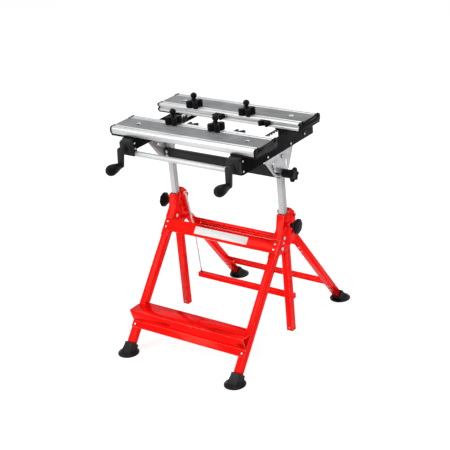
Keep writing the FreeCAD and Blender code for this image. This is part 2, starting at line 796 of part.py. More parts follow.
def make_rails():
    for side, sign in SIDES.items():
        inner = f"{sign} * rail_inner"
        outer = f"{sign} * rail_outer"
        wall = f"{sign} * rail_wall"
        skirt = "rail_top - rail_skirt_height"
        outline = [(inner, "rail_top"), (inner, "rail_floor"), (f"{outer} - {wall}", "rail_floor"),
                   (f"{outer} - {wall}", skirt), (outer, skirt), (outer, "rail_top"),
                   (f"{outer} - {wall}", "rail_top"), (f"{outer} - {wall}", "rail_floor + rail_wall"),
                   (f"{inner} + {wall}", "rail_floor + rail_wall"), (f"{inner} + {wall}", "rail_top")]
        channel = prism(side + "_rail_channel", "XZ", outline, "-rail_front", "rail_back")
        bore = rod(side + "_rail_pivot_bore", "x", "pivot_radius + running_fit",
                   *side_span(sign, "rail_outer - rail_wall - cut_overrun", "rail_outer + cut_overrun"),
                   ("0", "pivot_height"))
        node(side + "_rail", [without(side + "_rail_drilled", channel, [bore])])


tilt_plate_front_shares = ((1.0, 0.73), (0.48, 0.02))
tilt_plate_back_shares = ((0.5, 0.08), (1.0, 0.8))


def make_arc_slot(side, low, high):
    """Cutters for the slot around the pivot, from straight below it up towards the front."""
    rings = []
    for name, radius in (("outer", "tilt_radius + tilt_slot_width / 2"),
                         ("inner", "tilt_radius - tilt_slot_width / 2")):
        ring = document.addObject("Part::Cylinder", f"{side}_slot_{name}")
        bind(ring, {"Radius": radius, "Height": f"({high}) - ({low})", "Angle": "tilt_slot_angle"})
        ring.Placement = FreeCAD.Placement(FreeCAD.Vector(), TURNS["x"])
        rings.append(ring)
    slot = without(side + "_slot_arc", rings[0], [rings[1]])
    slot.Placement = FreeCAD.Placement(FreeCAD.Vector(), FreeCAD.Rotation(FreeCAD.Vector(-1, 0, 0), 1))
    bind(slot, {"Placement.Rotation.Angle": "tilt_slot_angle", "Placement.Base.x": low,
                "Placement.Base.z": "pivot_height"})
    ends = []
    for name, angle in (("start", "0"), ("finish", "tilt_slot_angle")):
        ends.append(rod(f"{side}_slot_{name}", "x", "tilt_slot_width / 2", low, high,
                        (f"-tilt_radius * sin({angle})", f"pivot_height - tilt_radius * cos({angle})")))
    return [slot] + ends


def make_tilt_plates():
    pieces = []
    top = "rail_floor - running_gap"
    tip = "tilt_stud_z"
    for side, sign in SIDES.items():
        rise = f"({top} - {tip})"
        span = side_span(sign, "rail_outer - rail_wall - tilt_plate_sheet", "rail_outer - rail_wall")
        outline = [("-tilt_plate_top_front", top)]
        outline += [(f"-tilt_plate_top_front * {across}", f"{tip} + {rise} * {up}")
                    for across, up in tilt_plate_front_shares]
        outline += [("-tilt_tip_radius * sin(60)", f"{tip} - tilt_tip_radius * cos(60)"),
                    ("-tilt_tip_radius * sin(30)", f"{tip} - tilt_tip_radius * cos(30)"),
                    ("0", f"{tip} - tilt_tip_radius"),
                    ("tilt_tip_radius * sin(30)", f"{tip} - tilt_tip_radius * cos(30)"),
                    ("tilt_tip_radius * sin(60)", f"{tip} - tilt_tip_radius * cos(60)")]
        outline += [(f"tilt_plate_top_back * {across}", f"{tip} + {rise} * {up}")
                    for across, up in tilt_plate_back_shares]
        outline.append(("tilt_plate_top_back", top))
        plate = prism(side + "_tilt_plate_blank", "YZ", outline, *span,
                      holes=[("0", "pivot_height", "pivot_radius + running_fit")])
        low, high = side_span(sign, "rail_outer - rail_wall - tilt_plate_sheet - cut_overrun",
                              "rail_outer - rail_wall + cut_overrun")
        slot = make_arc_slot(side, low, high) if side == CLAMPED_SIDE else []
        foot = "pivot_height - tilt_relief_drop"
        half = "tilt_relief_width / 2"
        relief = [block(side + "_relief", (low, high),
                        (f"tilt_relief_back - {half}", f"tilt_relief_back + {half}"),
                        (foot, f"{foot} + tilt_relief_length"))]
        for name, share in (("low", 0), ("high", 1)):
            relief.append(rod(f"{side}_relief_{name}", "x", half, low, high,
                              ("tilt_relief_back", f"{foot} + tilt_relief_length * {share}")))
        eye = rod(side + "_tilt_eye", "x", "tilt_eye_radius", low, high,
                  ("-tilt_eye_front", "pivot_height - tilt_eye_drop"))
        pieces.append(without(side + "_tilt_plate", plate, [eye] + slot + relief))
    node("tilt_plates", pieces)


def make_front_tube():
    place = ("-rail_front + front_tube_back", "rail_top - front_tube_drop")
    tube = rod("front_tube_bar", "x", "front_tube_radius", "-(rail_inner - end_block_step)",
               "rail_inner - end_block_step", place)
    hollow = rod("front_tube_hollow", "x", "front_tube_radius - tube_wall",
                 "-(rail_inner + cut_overrun)", "rail_inner + cut_overrun", place)
    node("front_tube", [without("front_tube_pipe", tube, [hollow])])


def make_end_blocks():
    """Castings in the front ends of the rails: a flange, a plug for the spindle and a lug below."""
    pieces = []
    for side, sign in SIDES.items():
        near = "rail_inner - end_block_step"
        outline = [(f"{sign} * ({near})", "rail_top - end_block_height"),
                   (f"{sign} * rail_outer", "rail_top - end_block_height"),
                   (f"{sign} * rail_outer", "rail_top - end_block_corner"),
                   (f"{sign} * (rail_outer - end_block_corner)", "rail_top"),
                   (f"{sign} * ({near} + end_block_corner)", "rail_top"),
                   (f"{sign} * ({near})", "rail_top - end_block_corner")]
        flange = prism(side + "_block_flange", "XZ", outline, "-block_front", "-rail_front")
        plug = block(side + "_block_plug",
                     side_span(sign, "rail_inner + rail_wall", "rail_outer - rail_wall"),
                     ("-rail_front - cut_overrun", "-rail_front + end_plug_length"),
                     ("rail_floor + rail_wall", "rail_top"))
        lug = block(side + "_block_lug",
                    side_span(sign, "rail_inner - end_block_step", "rail_outer - rail_wall"),
                    ("-rail_front - cut_overrun", "-rail_front + front_tube_back + front_tube_radius"),
                    ("rail_top - rail_skirt_height", "rail_floor"))
        solid = fused(side + "_block_solid", [flange, plug, lug])
        bore = rod(side + "_block_bore", "y", "spindle_radius + running_fit",
                   "-block_front - cut_overrun", "-rail_front + end_plug_length + cut_overrun",
                   (f"{sign} * spindle_x", "spindle_z"))
        pieces.append(without(side + "_end_block", solid, [bore]))
    node("end_blocks", pieces)


def make_racks():
    """Toothed strips along the inner walls of the rails, teeth upward."""
    pieces = []
    low = "rail_top - rack_low_drop"
    tip = f"{low} + rack_height"
    root = f"{tip} - rack_tooth_height"
    count = int(value("(rack_front + rack_back) / rack_pitch"))
    outline = [("-rack_front", low), ("-rack_front", tip)]
    for step in range(count):
        start = f"-rack_front + rack_pitch * {step}"
        outline.append((f"{start} + rack_pitch * 0.45", tip))
        outline.append((f"{start} + rack_pitch * 0.5", root))
        outline.append((f"{start} + rack_pitch * 0.8", root))
        outline.append((f"{start} + rack_pitch", tip))
    outline.append(("rack_back", tip))
    outline.append(("rack_back", low))
    for side, sign in SIDES.items():
        pieces.append(prism(side + "_rack", "YZ", outline,
                            *side_span(sign, "rail_inner + rail_wall",
                                       "rail_inner + rail_wall + rack_thickness")))
    node("racks", pieces)


outer_rivet_shares = ((-0.975, 0.2), (-0.975, 0.8), (0.72, 0.73))
plate_bolt_shares = ((-0.37, 0.82), (0.27, 0.82))
inner_rivet_shares = ((-0.975, 0.48), (-0.975, 0.99))


def make_table_bolts():
    pieces = []
    for side, sign in SIDES.items():
        for rank, (along, down) in enumerate(outer_rivet_shares + plate_bolt_shares):
            reach = "rail_front" if along < 0 else "rail_back"
            place = (f"{reach} * {along}", f"rail_top - rail_skirt_height * {down}")
            pieces.append(rod(f"{side}_outer_rivet_{rank}", "x", "rivet_radius",
                              *side_span(sign, "rail_outer", "rail_outer + rivet_height"), place))
        for rank, (along, down) in enumerate(inner_rivet_shares):
            place = (f"rail_front * {along}", f"rail_top - rail_inner_height * {down} + rivet_radius")
            pieces.append(rod(f"{side}_inner_rivet_{rank}", "x", "rivet_radius",
                              *side_span(sign, "rail_inner - rivet_height", "rail_inner"), place))
    node("table_bolts", pieces)


# Jaws

def jaw_point(nose, direction):
    """Turns a place across a jaw, from its outer nose, and a height over its base into y and z."""
    def point(across, up):
        return f"({nose}) + {direction} * ({across})", f"jaw_bottom + {up}"
    return point


def slot_points(point, centre, order):
    """The corners of a T-slot, from one lip to the other, left to right or back."""
    half = "slot_opening / 2"
    wide = "slot_inner / 2"
    lip = "jaw_height - slot_lip"
    floor = "jaw_height - slot_depth"
    corners = [(f"{centre} - {half}", "jaw_height"), (f"{centre} - {half}", lip),
               (f"{centre} - {wide}", lip), (f"{centre} - {wide}", floor),
               (f"{centre} + {wide}", floor), (f"{centre} + {wide}", lip),
               (f"{centre} + {half}", lip), (f"{centre} + {half}", "jaw_height")]
    return [point(across, up) for across, up in corners[::order]]


nose_shares = ((1.0, 0.0), (0.25, 0.11), (0.0, 0.32), (0.0, 0.68), (0.25, 0.89), (1.0, 1.0))


def jaw_outline(point):
    outline = [point(f"jaw_chamfer * {across}", f"jaw_height * {up}") for across, up in nose_shares]
    outline += slot_points(point, "slot_edge", 1)
    outline += [point("inlay_edge", "jaw_height"), point("inlay_edge", "jaw_height - inlay_depth"),
                point("jaw_width - inlay_edge", "jaw_height - inlay_depth"),
                point("jaw_width - inlay_edge", "jaw_height")]
    outline += slot_points(point, "jaw_width - slot_edge", 1)
    outline += [point("jaw_width - jaw_chamfer / 4", "jaw_height"),
                point("jaw_width", "jaw_height - jaw_chamfer / 4"),
                point("jaw_width", "jaw_vee_high"),
                point("jaw_width - jaw_vee_depth", "(jaw_vee_low + jaw_vee_high) / 2"),
                point("jaw_width", "jaw_vee_low"),
                point("jaw_width", "jaw_chamfer / 4"),
                point("jaw_width - jaw_chamfer / 4", "0")]
    return outline


def jaw_chambers(point):
    """Three closed hollows under the inlay, the middle one wide enough for the bench dog holes."""
    low = "jaw_skin"
    high = "jaw_height - inlay_depth - jaw_skin"
    middle = "jaw_width / 2"
    half = "dog_hole_radius + running_gap"
    spans = (("inlay_edge + jaw_skin", f"{middle} - ({half}) - jaw_skin"),
             (f"{middle} - ({half})", f"{middle} + {half}"),
             (f"{middle} + {half} + jaw_skin", "jaw_width - inlay_edge - jaw_skin"))
    return [[point(left, low), point(right, low), point(right, high), point(left, high)]
            for left, right in spans]


def dog_holes(name, middle, low, high):
    return [rod(f"{name}_{side}_dog_hole", "z", "dog_hole_radius", low, high,
                (f"{sign} * dog_hole_spacing / 2", middle)) for side, sign in SIDES.items()]


def make_jaw(label, nose, direction):
    point = jaw_point(nose, direction)
    middle = f"({nose}) + {direction} * jaw_width / 2"
    half = "jaw_length / 2"
    extrusion = prism(label + "_extrusion", "YZ", jaw_outline(point), f"-{half}", half,
                      loops=jaw_chambers(point))
    drills = dog_holes(label, middle, "jaw_bottom - cut_overrun", "jaw_top + cut_overrun")
    node(label, [without(label + "_drilled", extrusion, drills)])
    across = [point(edge, "0")[0] for edge in ("inlay_edge", "jaw_width - inlay_edge")]
    low = "jaw_top - inlay_depth"
    panel = block(label + "_panel", (f"-{half}", half), across[::direction],
                  (low, f"{low} + inlay_sheet"))
    drills = dog_holes(label + "_inlay", middle, "jaw_bottom - cut_overrun", "jaw_top + cut_overrun")
    node(label + "_inlay", [without(label + "_inlay_panel", panel, drills)])
    make_jaw_ends(label, point, middle, direction)


def make_jaw_ends(label, point, middle, direction):
    """End caps in the jaw's own profile, and the shoes under them that slide on the rails."""
    half = "jaw_length / 2"
    along = [point(edge, "0")[0] for edge in ("shoe_margin", "jaw_width - shoe_margin")]
    caps = []
    shoes = []
    for side, sign in SIDES.items():
        name = f"{label}_{side}"
        caps.append(prism(name + "_cap", "YZ", jaw_outline(point),
                          *side_span(sign, half, f"{half} + end_cap_thickness")))
        shoe = block(name + "_shoe_blank",
                     side_span(sign, "rail_inner - shoe_overhang", f"{half} + end_cap_thickness"),
                     along[::direction], ("shoe_bottom", "jaw_bottom"))
        drill = rod(name + "_shoe_hole", "z", "dog_hole_radius", "shoe_bottom - cut_overrun",
                    "jaw_bottom + cut_overrun", (f"{sign} * dog_hole_spacing / 2", middle))
        shoes.append(without(name + "_shoe", shoe, [drill]))
    node(label + "_caps", caps)
    node(label + "_shoes", shoes)


def make_carriers(label, name, nose, direction, catch):
    """Blocks under a jaw that ride in the rails around the spindles."""
    pieces = []
    point = jaw_point(nose, direction)
    along = [point(edge, "0")[0] for edge in ("nut_along", "nut_along + nut_length")]
    for side, sign in SIDES.items():
        inner = "rail_inner + rail_wall + rack_thickness + 2 * running_gap"
        body = block(f"{side}_{name}_body",
                     side_span(sign, inner, "rail_outer - rail_wall - 2 * running_gap"),
                     along[::direction], ("shoe_bottom - nut_height", "shoe_bottom"))
        parts = [body]
        if catch:
            arm = [point(edge, "0")[0] for edge in ("nut_along", "nut_along + nut_length / 2")]
            parts.append(block(f"{side}_{name}_arm",
                               side_span(sign, "rail_inner + rail_wall + running_gap",
                                         f"{inner} + rail_wall"),
                               arm[::direction],
                               ("shoe_bottom - catch_arm_height", "shoe_bottom")))
        solid = fused(f"{side}_{name}_solid", parts) if catch else body
        clearance = "running_gap" if catch else "running_fit"
        bore = rod(f"{side}_{name}_bore", "y", f"spindle_radius + {clearance}",
                   f"{along[::direction][0]} - cut_overrun", f"{along[::direction][1]} + cut_overrun",
                   (f"{sign} * spindle_x", "spindle_z"))
        pieces.append(without(f"{side}_{name}", solid, [bore]))
    node(label, pieces)


# Spindles, cranks and grips

grip_profile_shares = ((0.0, 0.6), (0.08, 0.63), (0.25, 0.76), (0.45, 0.91), (0.6, 0.985),
                       (0.7, 1.0), (0.82, 0.93), (0.92, 0.72), (0.98, 0.45), (1.0, 0.3))


def make_cranks():
    for side, sign in SIDES.items():
        turn = f"{-sign} * {side}_crank_turn"
        hub_place = (f"{sign} * spindle_x", "spindle_z")
        spindle_front = "-(crank_front - crank_cover)"
        node(side + "_spindle", [rod(side + "_spindle_bar", "y", "spindle_radius",
                                     spindle_front, "spindle_back", hub_place)])
        low = "-crank_front"
        high = "-crank_back"
        boss_end = "-(block_front + running_gap)"
        tip = (f"{sign} * spindle_x + crank_length * sin({turn})",
               f"spindle_z - crank_length * cos({turn})")
        boss = rod(side + "_crank_boss", "y", "crank_boss_radius", low, boss_end, hub_place)
        hub = rod(side + "_crank_hub", "y", "crank_hub_width / 2", low, high, hub_place)
        toe = rod(side + "_crank_toe", "y", "crank_tip_width / 2", low, high, tip)
        corners = []
        for width, centre, order in (("crank_hub_width / 2", hub_place, 1),
                                     ("crank_tip_width / 2", tip, -1)):
            for way in (-order, order):
                corners.append((f"{centre[0]} + {way} * {width} * cos({turn})",
                                f"{centre[1]} + {way} * {width} * sin({turn})"))
        arm = prism(side + "_crank_arm", "XZ", corners, low, high)
        bore = rod(side + "_crank_bore", "y", "spindle_radius", spindle_front,
                   f"{boss_end} + cut_overrun", hub_place)
        pin_tip = f"{low} - running_gap - grip_length"
        solid = fused(side + "_crank_solid", [boss, hub, toe, arm])
        drilled = without(side + "_crank_drilled", solid, [bore])
        pin = rod(side + "_grip_pin", "y", "grip_pin_radius", pin_tip, low, tip)
        node(side + "_crank", [fused(side + "_crank_and_pin", [drilled, pin])])
        make_grip(side, tip)


def make_grip(side, tip):
    """A round egg-shaped grip that spins on the pin of its crank."""
    body = document.addObject("PartDesign::Body", side + "_grip_turning")
    sketch = body.newObject("Sketcher::SketchObject", side + "_grip_profile")
    sketch.AttachmentSupport = [(origin_plane(body, "YZ_Plane"), "")]
    sketch.MapMode = "FlatFace"
    start = "-(crank_front + running_gap)"
    bore = "grip_pin_radius + running_fit"
    outline = [(start, bore)]
    outline += [(f"{start} - grip_length * {along}", f"grip_radius * {share}")
                for along, share in grip_profile_shares]
    outline.append((f"{start} - grip_length", bore))
    draw_loop(sketch, outline)
    turning = body.newObject("PartDesign::Revolution", side + "_grip_revolution")
    turning.Profile = sketch
    turning.ReferenceAxis = (sketch, ["H_Axis"])
    turning.Angle = 360
    body.Tip = turning
    bind(body, {"Placement.Base.x": tip[0], "Placement.Base.z": tip[1]})
    node(side + "_grip", [body])


# Hand knobs

def knob(name, sign, seat, height, stud_tip, hub, disc, lobes):
    """A lobed knob on a hub and stud whose axis lies along x. hub is radius and length, disc is
    radius and thickness, lobes is their number and their radius as a share of the disc's."""
    place = ("0", height)
    hub_radius, hub_length = hub
    radius, thickness = disc
    count, lobe_share = lobes
    pieces = [rod(name + "_stud", "x", "knob_stud_radius", *side_span(sign, stud_tip, seat), place),
              rod(name + "_hub", "x", hub_radius, *side_span(sign, seat, f"{seat} + {hub_length}"), place)]
    disc_span = side_span(sign, f"{seat} + {hub_length}", f"{seat} + {hub_length} + {thickness}")
    pieces.append(rod(name + "_disc", "x", f"{radius} * (1 - {lobe_share})", *disc_span, place))
    for rank in range(count):
        angle = f"{rank} * 360 / {count}"
        spot = (f"{radius} * (1 - {lobe_share}) * sin({angle})",
                f"({height}) + {radius} * (1 - {lobe_share}) * cos({angle})")
        pieces.append(rod(f"{name}_lobe_{rank}", "x", f"{radius} * {lobe_share}", *disc_span, spot))
    node(name, [fused(name + "_moulding", pieces)])


def make_knobs():
    knob("tilt_knob", 1, "tilt_knob_seat", "tilt_stud_z", "column_x + tube_width / 2 + running_gap",
         ("tilt_knob_hub_radius", "tilt_knob_hub_length"),
         ("tilt_knob_radius", "tilt_knob_thickness"), (6, 0.3))
    for side, sign in SIDES.items():
        knob(side + "_height_knob", sign, "knob_seat", "height_knob_height",
             "column_x + tube_width / 2 + running_gap",
             ("height_knob_hub_radius", "height_knob_hub_length"),
             ("height_knob_radius", "height_knob_thickness"), (8, 0.24))


# Pawls and release bar

pawl_shares = ((1.0, -0.514), (1.0, -0.114), (0.87, 0.457), (0.8, 0.77), (0.55, 1.0), (0.24, 0.8),
               (-0.2, 0.23), (-0.2, -0.2), (0.1, -0.4), (0.6, -0.6))


def make_pawls():
    """Cam levers between the pylon plates whose pads bear on the rear of the lift tubes."""
    for side, sign in SIDES.items():
        outline = [(f"pawl_back - pawl_reach * ({forward})", f"pawl_height + pawl_rise * ({up})")
                   for forward, up in pawl_shares]
        lever = prism(side + "_pawl_lever", "YZ", outline,
                      *side_span(sign, "column_x - rear_leg_half", "column_x + rear_leg_half"),
                      holes=[("pawl_back", "pawl_height", "pawl_pin_radius + running_fit")])
        pin = rod(side + "_release_pin", "x", "release_pin_radius",
                  *side_span(sign, "release_x - strap_sheet", "column_x"),
                  ("release_pin_y", "release_pin_z"))
        node(side + "_pawl", [fused(side + "_pawl_and_pin", [lever, pin])])


def make_release():
    """Straps hung on the pawl pins, rods, and the bar pressed by foot."""
    links = []
    half = "strap_sheet / 2"
    for side, sign in SIDES.items():
        span = side_span(sign, f"release_x - {half}", f"release_x + {half}")
        wide = "strap_width / 2"
        outline = [(f"release_pin_y - {wide} * 2", f"release_pin_z - {wide}"),
                   (f"release_pin_y - {wide} * 2", f"release_pin_z + {wide}"),
                   (f"release_pin_y + {wide}", f"release_pin_z + {wide}"),
                   (f"release_pin_y + {wide}", f"release_pin_z - {wide}"),
                   (f"strap_back + {wide}", "strap_low"), (f"strap_back - {wide}", "strap_low"),
                   (f"release_pin_y - {wide}", f"release_pin_z - {wide}")]
        strap = prism(side + "_strap_blank", "YZ", outline, *span)
        play = "release_pin_radius + running_gap"
        slot = block(side + "_strap_slot",
                     side_span(sign, f"release_x - {half} - cut_overrun",
                               f"release_x + {half} + cut_overrun"),
                     (f"release_pin_y - ({play}) - release_swing", f"release_pin_y + {play}"),
                     (f"release_pin_z - ({play}) - running_gap * 3", f"release_pin_z + {play}"))
        foot = "release_rod_radius"
        rod_outline = [(f"strap_back - {foot}", f"strap_low + strap_width"),
                       (f"strap_back + {foot}", f"strap_low + strap_width"),
                       (f"release_bar_back + {foot}", "release_bar_height + release_bar_width / 2"),
                       (f"release_bar_back - {foot}", "release_bar_height + release_bar_width / 2")]
        shaft = prism(side + "_release_rod", "YZ", rod_outline,
                      *side_span(sign, f"release_x - {foot}", f"release_x + {foot}"))
        links.append(fused(side + "_release_link", [without(side + "_strap", strap, [slot]), shaft]))
    node("release_rods", links)
    end = "(release_x + release_bar_end)"
    bars = []
    for name, wide, reach in (("outer", "release_bar_width / 2", end),
                              ("hollow", "(release_bar_width / 2 - tube_wall)", f"({end} - tube_wall)")):
        bars.append(block("release_bar_" + name, (f"-{reach}", reach),
                          (f"release_bar_back - {wide}", f"release_bar_back + {wide}"),
                          (f"release_bar_height - {wide}", f"release_bar_height + {wide}")))
    node("release_bar", [without("release_bar_tube", bars[0], [bars[1]])])


# Clamping dogs and vee blocks on the jaws

dog_notch_share = 0.46
dog_corner_share = 0.3


def dog_outline(x_place, y_place):
    """A square with a vee notch in the middle of each side."""
    half = "dog_width / 2"
    outline = []
    for along, across in ((1, 0), (0, 1), (-1, 0), (0, -1)):
        for shift, reach in ((-1, 1), (-(1 - dog_corner_share), 1), (0, 1 - dog_notch_share),
                             (1 - dog_corner_share, 1)):
            outline.append((f"{x_place} + {half} * ({along * reach - across * shift})",
                            f"{y_place} + {half} * ({across * reach + along * shift})"))
    return outline


def make_dog(label, x_place, y_place):
    """A clamping dog on a T-foot in the jaw's slot, and the hand screw through it."""
    x_place = f"({x_place})"
    y_place = f"({y_place})"
    seat = "jaw_top + running_gap"
    top = f"{seat} + dog_height"
    star = prism(label + "_star", "XY", dog_outline(x_place, y_place), seat, top)
    place = (x_place, y_place)
    foot_low = "jaw_top - slot_depth + running_gap"
    foot = rod(label + "_foot", "z", "dog_foot_radius", foot_low, f"{foot_low} + dog_foot_height", place)
    stem = rod(label + "_stem", "z", "dog_stem_radius", foot_low, f"{seat} + dog_height / 4", place)
    bore = rod(label + "_bore", "z", "dog_screw_radius + running_fit", f"{seat} + dog_height / 8",
               f"{top} + cut_overrun", place)
    node(label, [without(label + "_drilled", fused(label + "_solid", [star, foot, stem]), [bore])])
    collar_low = f"{top} + running_gap"
    knob_low = f"{collar_low} + dog_collar_height"
    pieces = [rod(label + "_screw_shank", "z", "dog_screw_radius",
                  f"{seat} + dog_height / 8 + running_gap", collar_low, place),
              rod(label + "_screw_collar", "z", "dog_collar_radius", collar_low, knob_low, place),
              rod(label + "_screw_knob", "z", "dog_knob_radius", knob_low,
                  f"{knob_low} + dog_knob_height", place)]
    node(label + "_screw", [fused(label + "_screw_moulding", pieces)])


vee_block_shares = ((-0.5, 0.0), (0.5, 0.0), (0.5, 1.0), (0.3, 1.0), (0.0, 0.45), (-0.3, 1.0), (-0.5, 1.0))


def make_vee_block(label, x_place, face, direction):
    """A block in the gap with a vee in its front and a tongue in the jaw's groove."""
    x_place = f"({x_place})"
    near = f"({face}) + {direction} * running_gap"
    low = "jaw_bottom + jaw_vee_low"
    outline = [(f"{x_place} + vee_block_length * ({along})",
                f"{near} + {direction} * vee_block_depth * {out}")
               for along, out in vee_block_shares]
    body = prism(label + "_body", "XY", outline, low, f"{low} + vee_block_height")
    slope = "(jaw_vee_high - jaw_vee_low) / 2"
    inset = "running_gap * 2"
    tongue_outline = [(f"{near} + {direction} * cut_overrun", f"vee_middle + {slope} - {inset}"),
                      (near, f"vee_middle + {slope} - {inset}"),
                      (f"{near} - {direction} * (jaw_vee_depth - {inset} * 2)", "vee_middle"),
                      (near, f"vee_middle - {slope} + {inset}"),
                      (f"{near} + {direction} * cut_overrun", f"vee_middle - {slope} + {inset}")]
    tongue = prism(label + "_tongue", "YZ", tongue_outline, f"{x_place} - vee_block_length / 2",
                   f"{x_place} + vee_block_length / 2")
    node(label, [fused(label + "_moulding", [body, tongue])])


def make_everything():
    make_sleeves()
    make_pylons()
    make_front_legs()
    make_feet("front_feet", "-front_reach", front_leg_point, "front_leg_depth", "sleeve_half")
    make_leg_bar("front_crossbar", front_leg_point, "front_bar_along", "front_bar_height",
                 "column_x + sleeve_half", "-front_leg_depth / 2", "-bar_sheet",
                 "-front_leg_depth / 2 + bar_flange")
    make_shelf()
    make_frame_bolts()
    make_tube_guides()
    make_rear_legs()
    make_feet("rear_feet", "rear_reach", rear_leg_point, "rear_leg_depth", "rear_leg_half")
    rivets = []
    behind = "rear_leg_depth / 2"
    for name in ("rear_upper", "rear_lower"):
        along = f"{name}_bar_along"
        make_leg_bar(name + "_bar", rear_leg_point, along, "bar_height", "column_x + rivet_radius",
                     behind, "bar_sheet", f"{behind} - bar_flange")
        rivets += make_leg_rivets(name + "_bar_rivet", rear_leg_point, f"{along} + bar_height / 2",
                                  "rivet_spacing", f"{behind} + bar_sheet", "rivet_height")
        rivets += make_leg_rivets(name + "_leg_rivet", rear_leg_point, f"{name}_rivet_along",
                                  "rear_rivet_spacing", f"-{behind}", "-rivet_height")
    node("rear_leg_rivets", rivets)
    make_lift()
    make_cross_beam()
    make_rails()
    make_tilt_plates()
    make_front_tube()
    make_end_blocks()
    make_racks()
    make_table_bolts()
    make_jaw("front_jaw", "-jaw_nose_front", 1)
    make_jaw("rear_jaw", "rear_jaw_nose", -1)
    make_carriers("spindle_nuts", "nut", "-jaw_nose_front", 1, False)
    make_carriers("rack_catches", "catch", "rear_jaw_nose", -1, True)
    make_cranks()
    make_knobs()
    make_pawls()
    make_release()
    for side in SIDES:
        make_dog(f"front_{side}_dog", f"front_{side}_dog_x", "front_jaw_face - slot_edge")
        make_dog(f"rear_{side}_dog", f"rear_{side}_dog_x", "rear_jaw_face + slot_edge")
        make_vee_block(f"front_{side}_vee_block", f"front_{side}_vee_x", "front_jaw_face", 1)
        make_vee_block(f"rear_{side}_vee_block", f"rear_{side}_vee_x", "rear_jaw_face", -1)


def check_everything():
    for thing in document.Objects:
        if "Invalid" in thing.State or "Error" in thing.State:
            raise RuntimeError(f"{thing.Name} did not build")
    for label, thing in nodes.items():
        if thing.Shape.isNull() or not thing.Shape.isValid() or not thing.Shape.Solids:
            raise RuntimeError(f"{label} has no sound shape")


fill_sheets()
make_everything()
document.recompute()
check_everything()
os.makedirs("parts", exist_ok=True)
for label, thing in nodes.items():
    thing.Shape.exportStep(f"parts/{label}.step")
print(len(nodes), "nodes written")
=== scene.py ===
"""A folding clamping workbench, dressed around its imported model. Lengths are in metres."""
import json
import math

import bmesh
import bpy
from mathutils import Matrix, Vector

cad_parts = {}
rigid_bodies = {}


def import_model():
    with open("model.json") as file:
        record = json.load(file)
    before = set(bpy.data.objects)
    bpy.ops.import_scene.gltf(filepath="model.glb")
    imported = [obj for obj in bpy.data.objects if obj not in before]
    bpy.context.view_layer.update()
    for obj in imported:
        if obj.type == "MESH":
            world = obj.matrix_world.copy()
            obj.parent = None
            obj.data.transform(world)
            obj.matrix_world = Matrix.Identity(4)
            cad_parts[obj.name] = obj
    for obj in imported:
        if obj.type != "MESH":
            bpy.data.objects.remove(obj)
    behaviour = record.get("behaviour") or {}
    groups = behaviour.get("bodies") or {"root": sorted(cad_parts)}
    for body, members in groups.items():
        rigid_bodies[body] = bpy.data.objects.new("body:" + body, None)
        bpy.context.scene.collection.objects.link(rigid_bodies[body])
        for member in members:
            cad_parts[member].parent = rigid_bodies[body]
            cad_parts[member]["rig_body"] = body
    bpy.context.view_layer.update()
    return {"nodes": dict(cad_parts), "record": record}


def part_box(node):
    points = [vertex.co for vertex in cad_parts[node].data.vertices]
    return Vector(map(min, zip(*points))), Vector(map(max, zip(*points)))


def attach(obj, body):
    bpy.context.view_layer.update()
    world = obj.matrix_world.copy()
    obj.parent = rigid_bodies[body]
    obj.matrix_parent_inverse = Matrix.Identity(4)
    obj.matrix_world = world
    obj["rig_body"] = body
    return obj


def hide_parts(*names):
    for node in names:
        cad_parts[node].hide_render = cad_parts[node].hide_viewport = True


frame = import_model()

nodes = frame["nodes"]
slot_of = {part["node"]: part["material_slot"] for part in frame["record"]["subparts"]}
body_of = {name: node["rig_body"] for name, node in nodes.items()}

# Sizes shared with the source of the solids.
FRONT_LEAN = math.radians(38.66)
REAR_LEAN = math.atan((352 - 36) / 421)
HOLE_SPACING = 0.470

# Camera: its place, azimuth from the front, height angle and roll in degrees, lens and sensor in
# millimetres, and how far it sees.
CAMERA_PLACE = Vector((2.48003, -3.24615, 2.22127))
CAMERA_TURN = 37.544
CAMERA_DIP = 23.801
CAMERA_ROLL = -5.345
CAMERA_LENS = 96.807
SENSOR_WIDTH = 36.0
CAMERA_REACH = 60


def make_camera():
    turn, dip, roll = (math.radians(a) for a in (CAMERA_TURN, CAMERA_DIP, CAMERA_ROLL))
    back = Vector((math.sin(turn) * math.cos(dip), -math.cos(turn) * math.cos(dip), math.sin(dip)))
    level = Vector((math.cos(turn), math.sin(turn), 0))
    rise = back.cross(level)
    right = level * math.cos(roll) + rise * math.sin(roll)
    up = rise * math.cos(roll) - level * math.sin(roll)
    data = bpy.data.cameras.new("camera")
    data.lens = CAMERA_LENS
    data.sensor_width = SENSOR_WIDTH
    data.clip_end = CAMERA_REACH
    camera = bpy.data.objects.new("camera", data)
    bpy.context.scene.collection.objects.link(camera)
    turned = Matrix((right, up, back)).transposed().to_4x4()
    camera.matrix_world = Matrix.Translation(CAMERA_PLACE) @ turned
    bpy.context.scene.camera = camera


# Lamps: name, place, what it points at, size and power.
LAMPS = (
    ("key", (-1.6, -3.2, 2.6), (0, 0, 0.55), 2.4, 92),
    ("side", (3.4, 0.4, 1.7), (0, 0, 0.5), 2.0, 6),
    ("top", (0.2, 0.3, 3.6), (0, 0, 0.6), 2.6, 55),
)
WORLD_LIGHT = 0.54
# The floor: its colour, its glow where it is seen directly, half its width, and how far it lies
# below z = 0.
FLOOR_COLOUR = 0.9
FLOOR_GLOW = 0.72
FLOOR_REACH = 14.0
FLOOR_DROP = 0.0005


def make_lamps():
    for name, place, aim, size, power in LAMPS:
        data = bpy.data.lights.new(name, "AREA")
        data.shape = "SQUARE"
        data.size = size
        data.energy = power
        lamp = bpy.data.objects.new(name, data)
        bpy.context.scene.collection.objects.link(lamp)
        turned = (Vector(place) - Vector(aim)).to_track_quat("Z", "Y").to_matrix().to_4x4()
        lamp.matrix_world = Matrix.Translation(place) @ turned


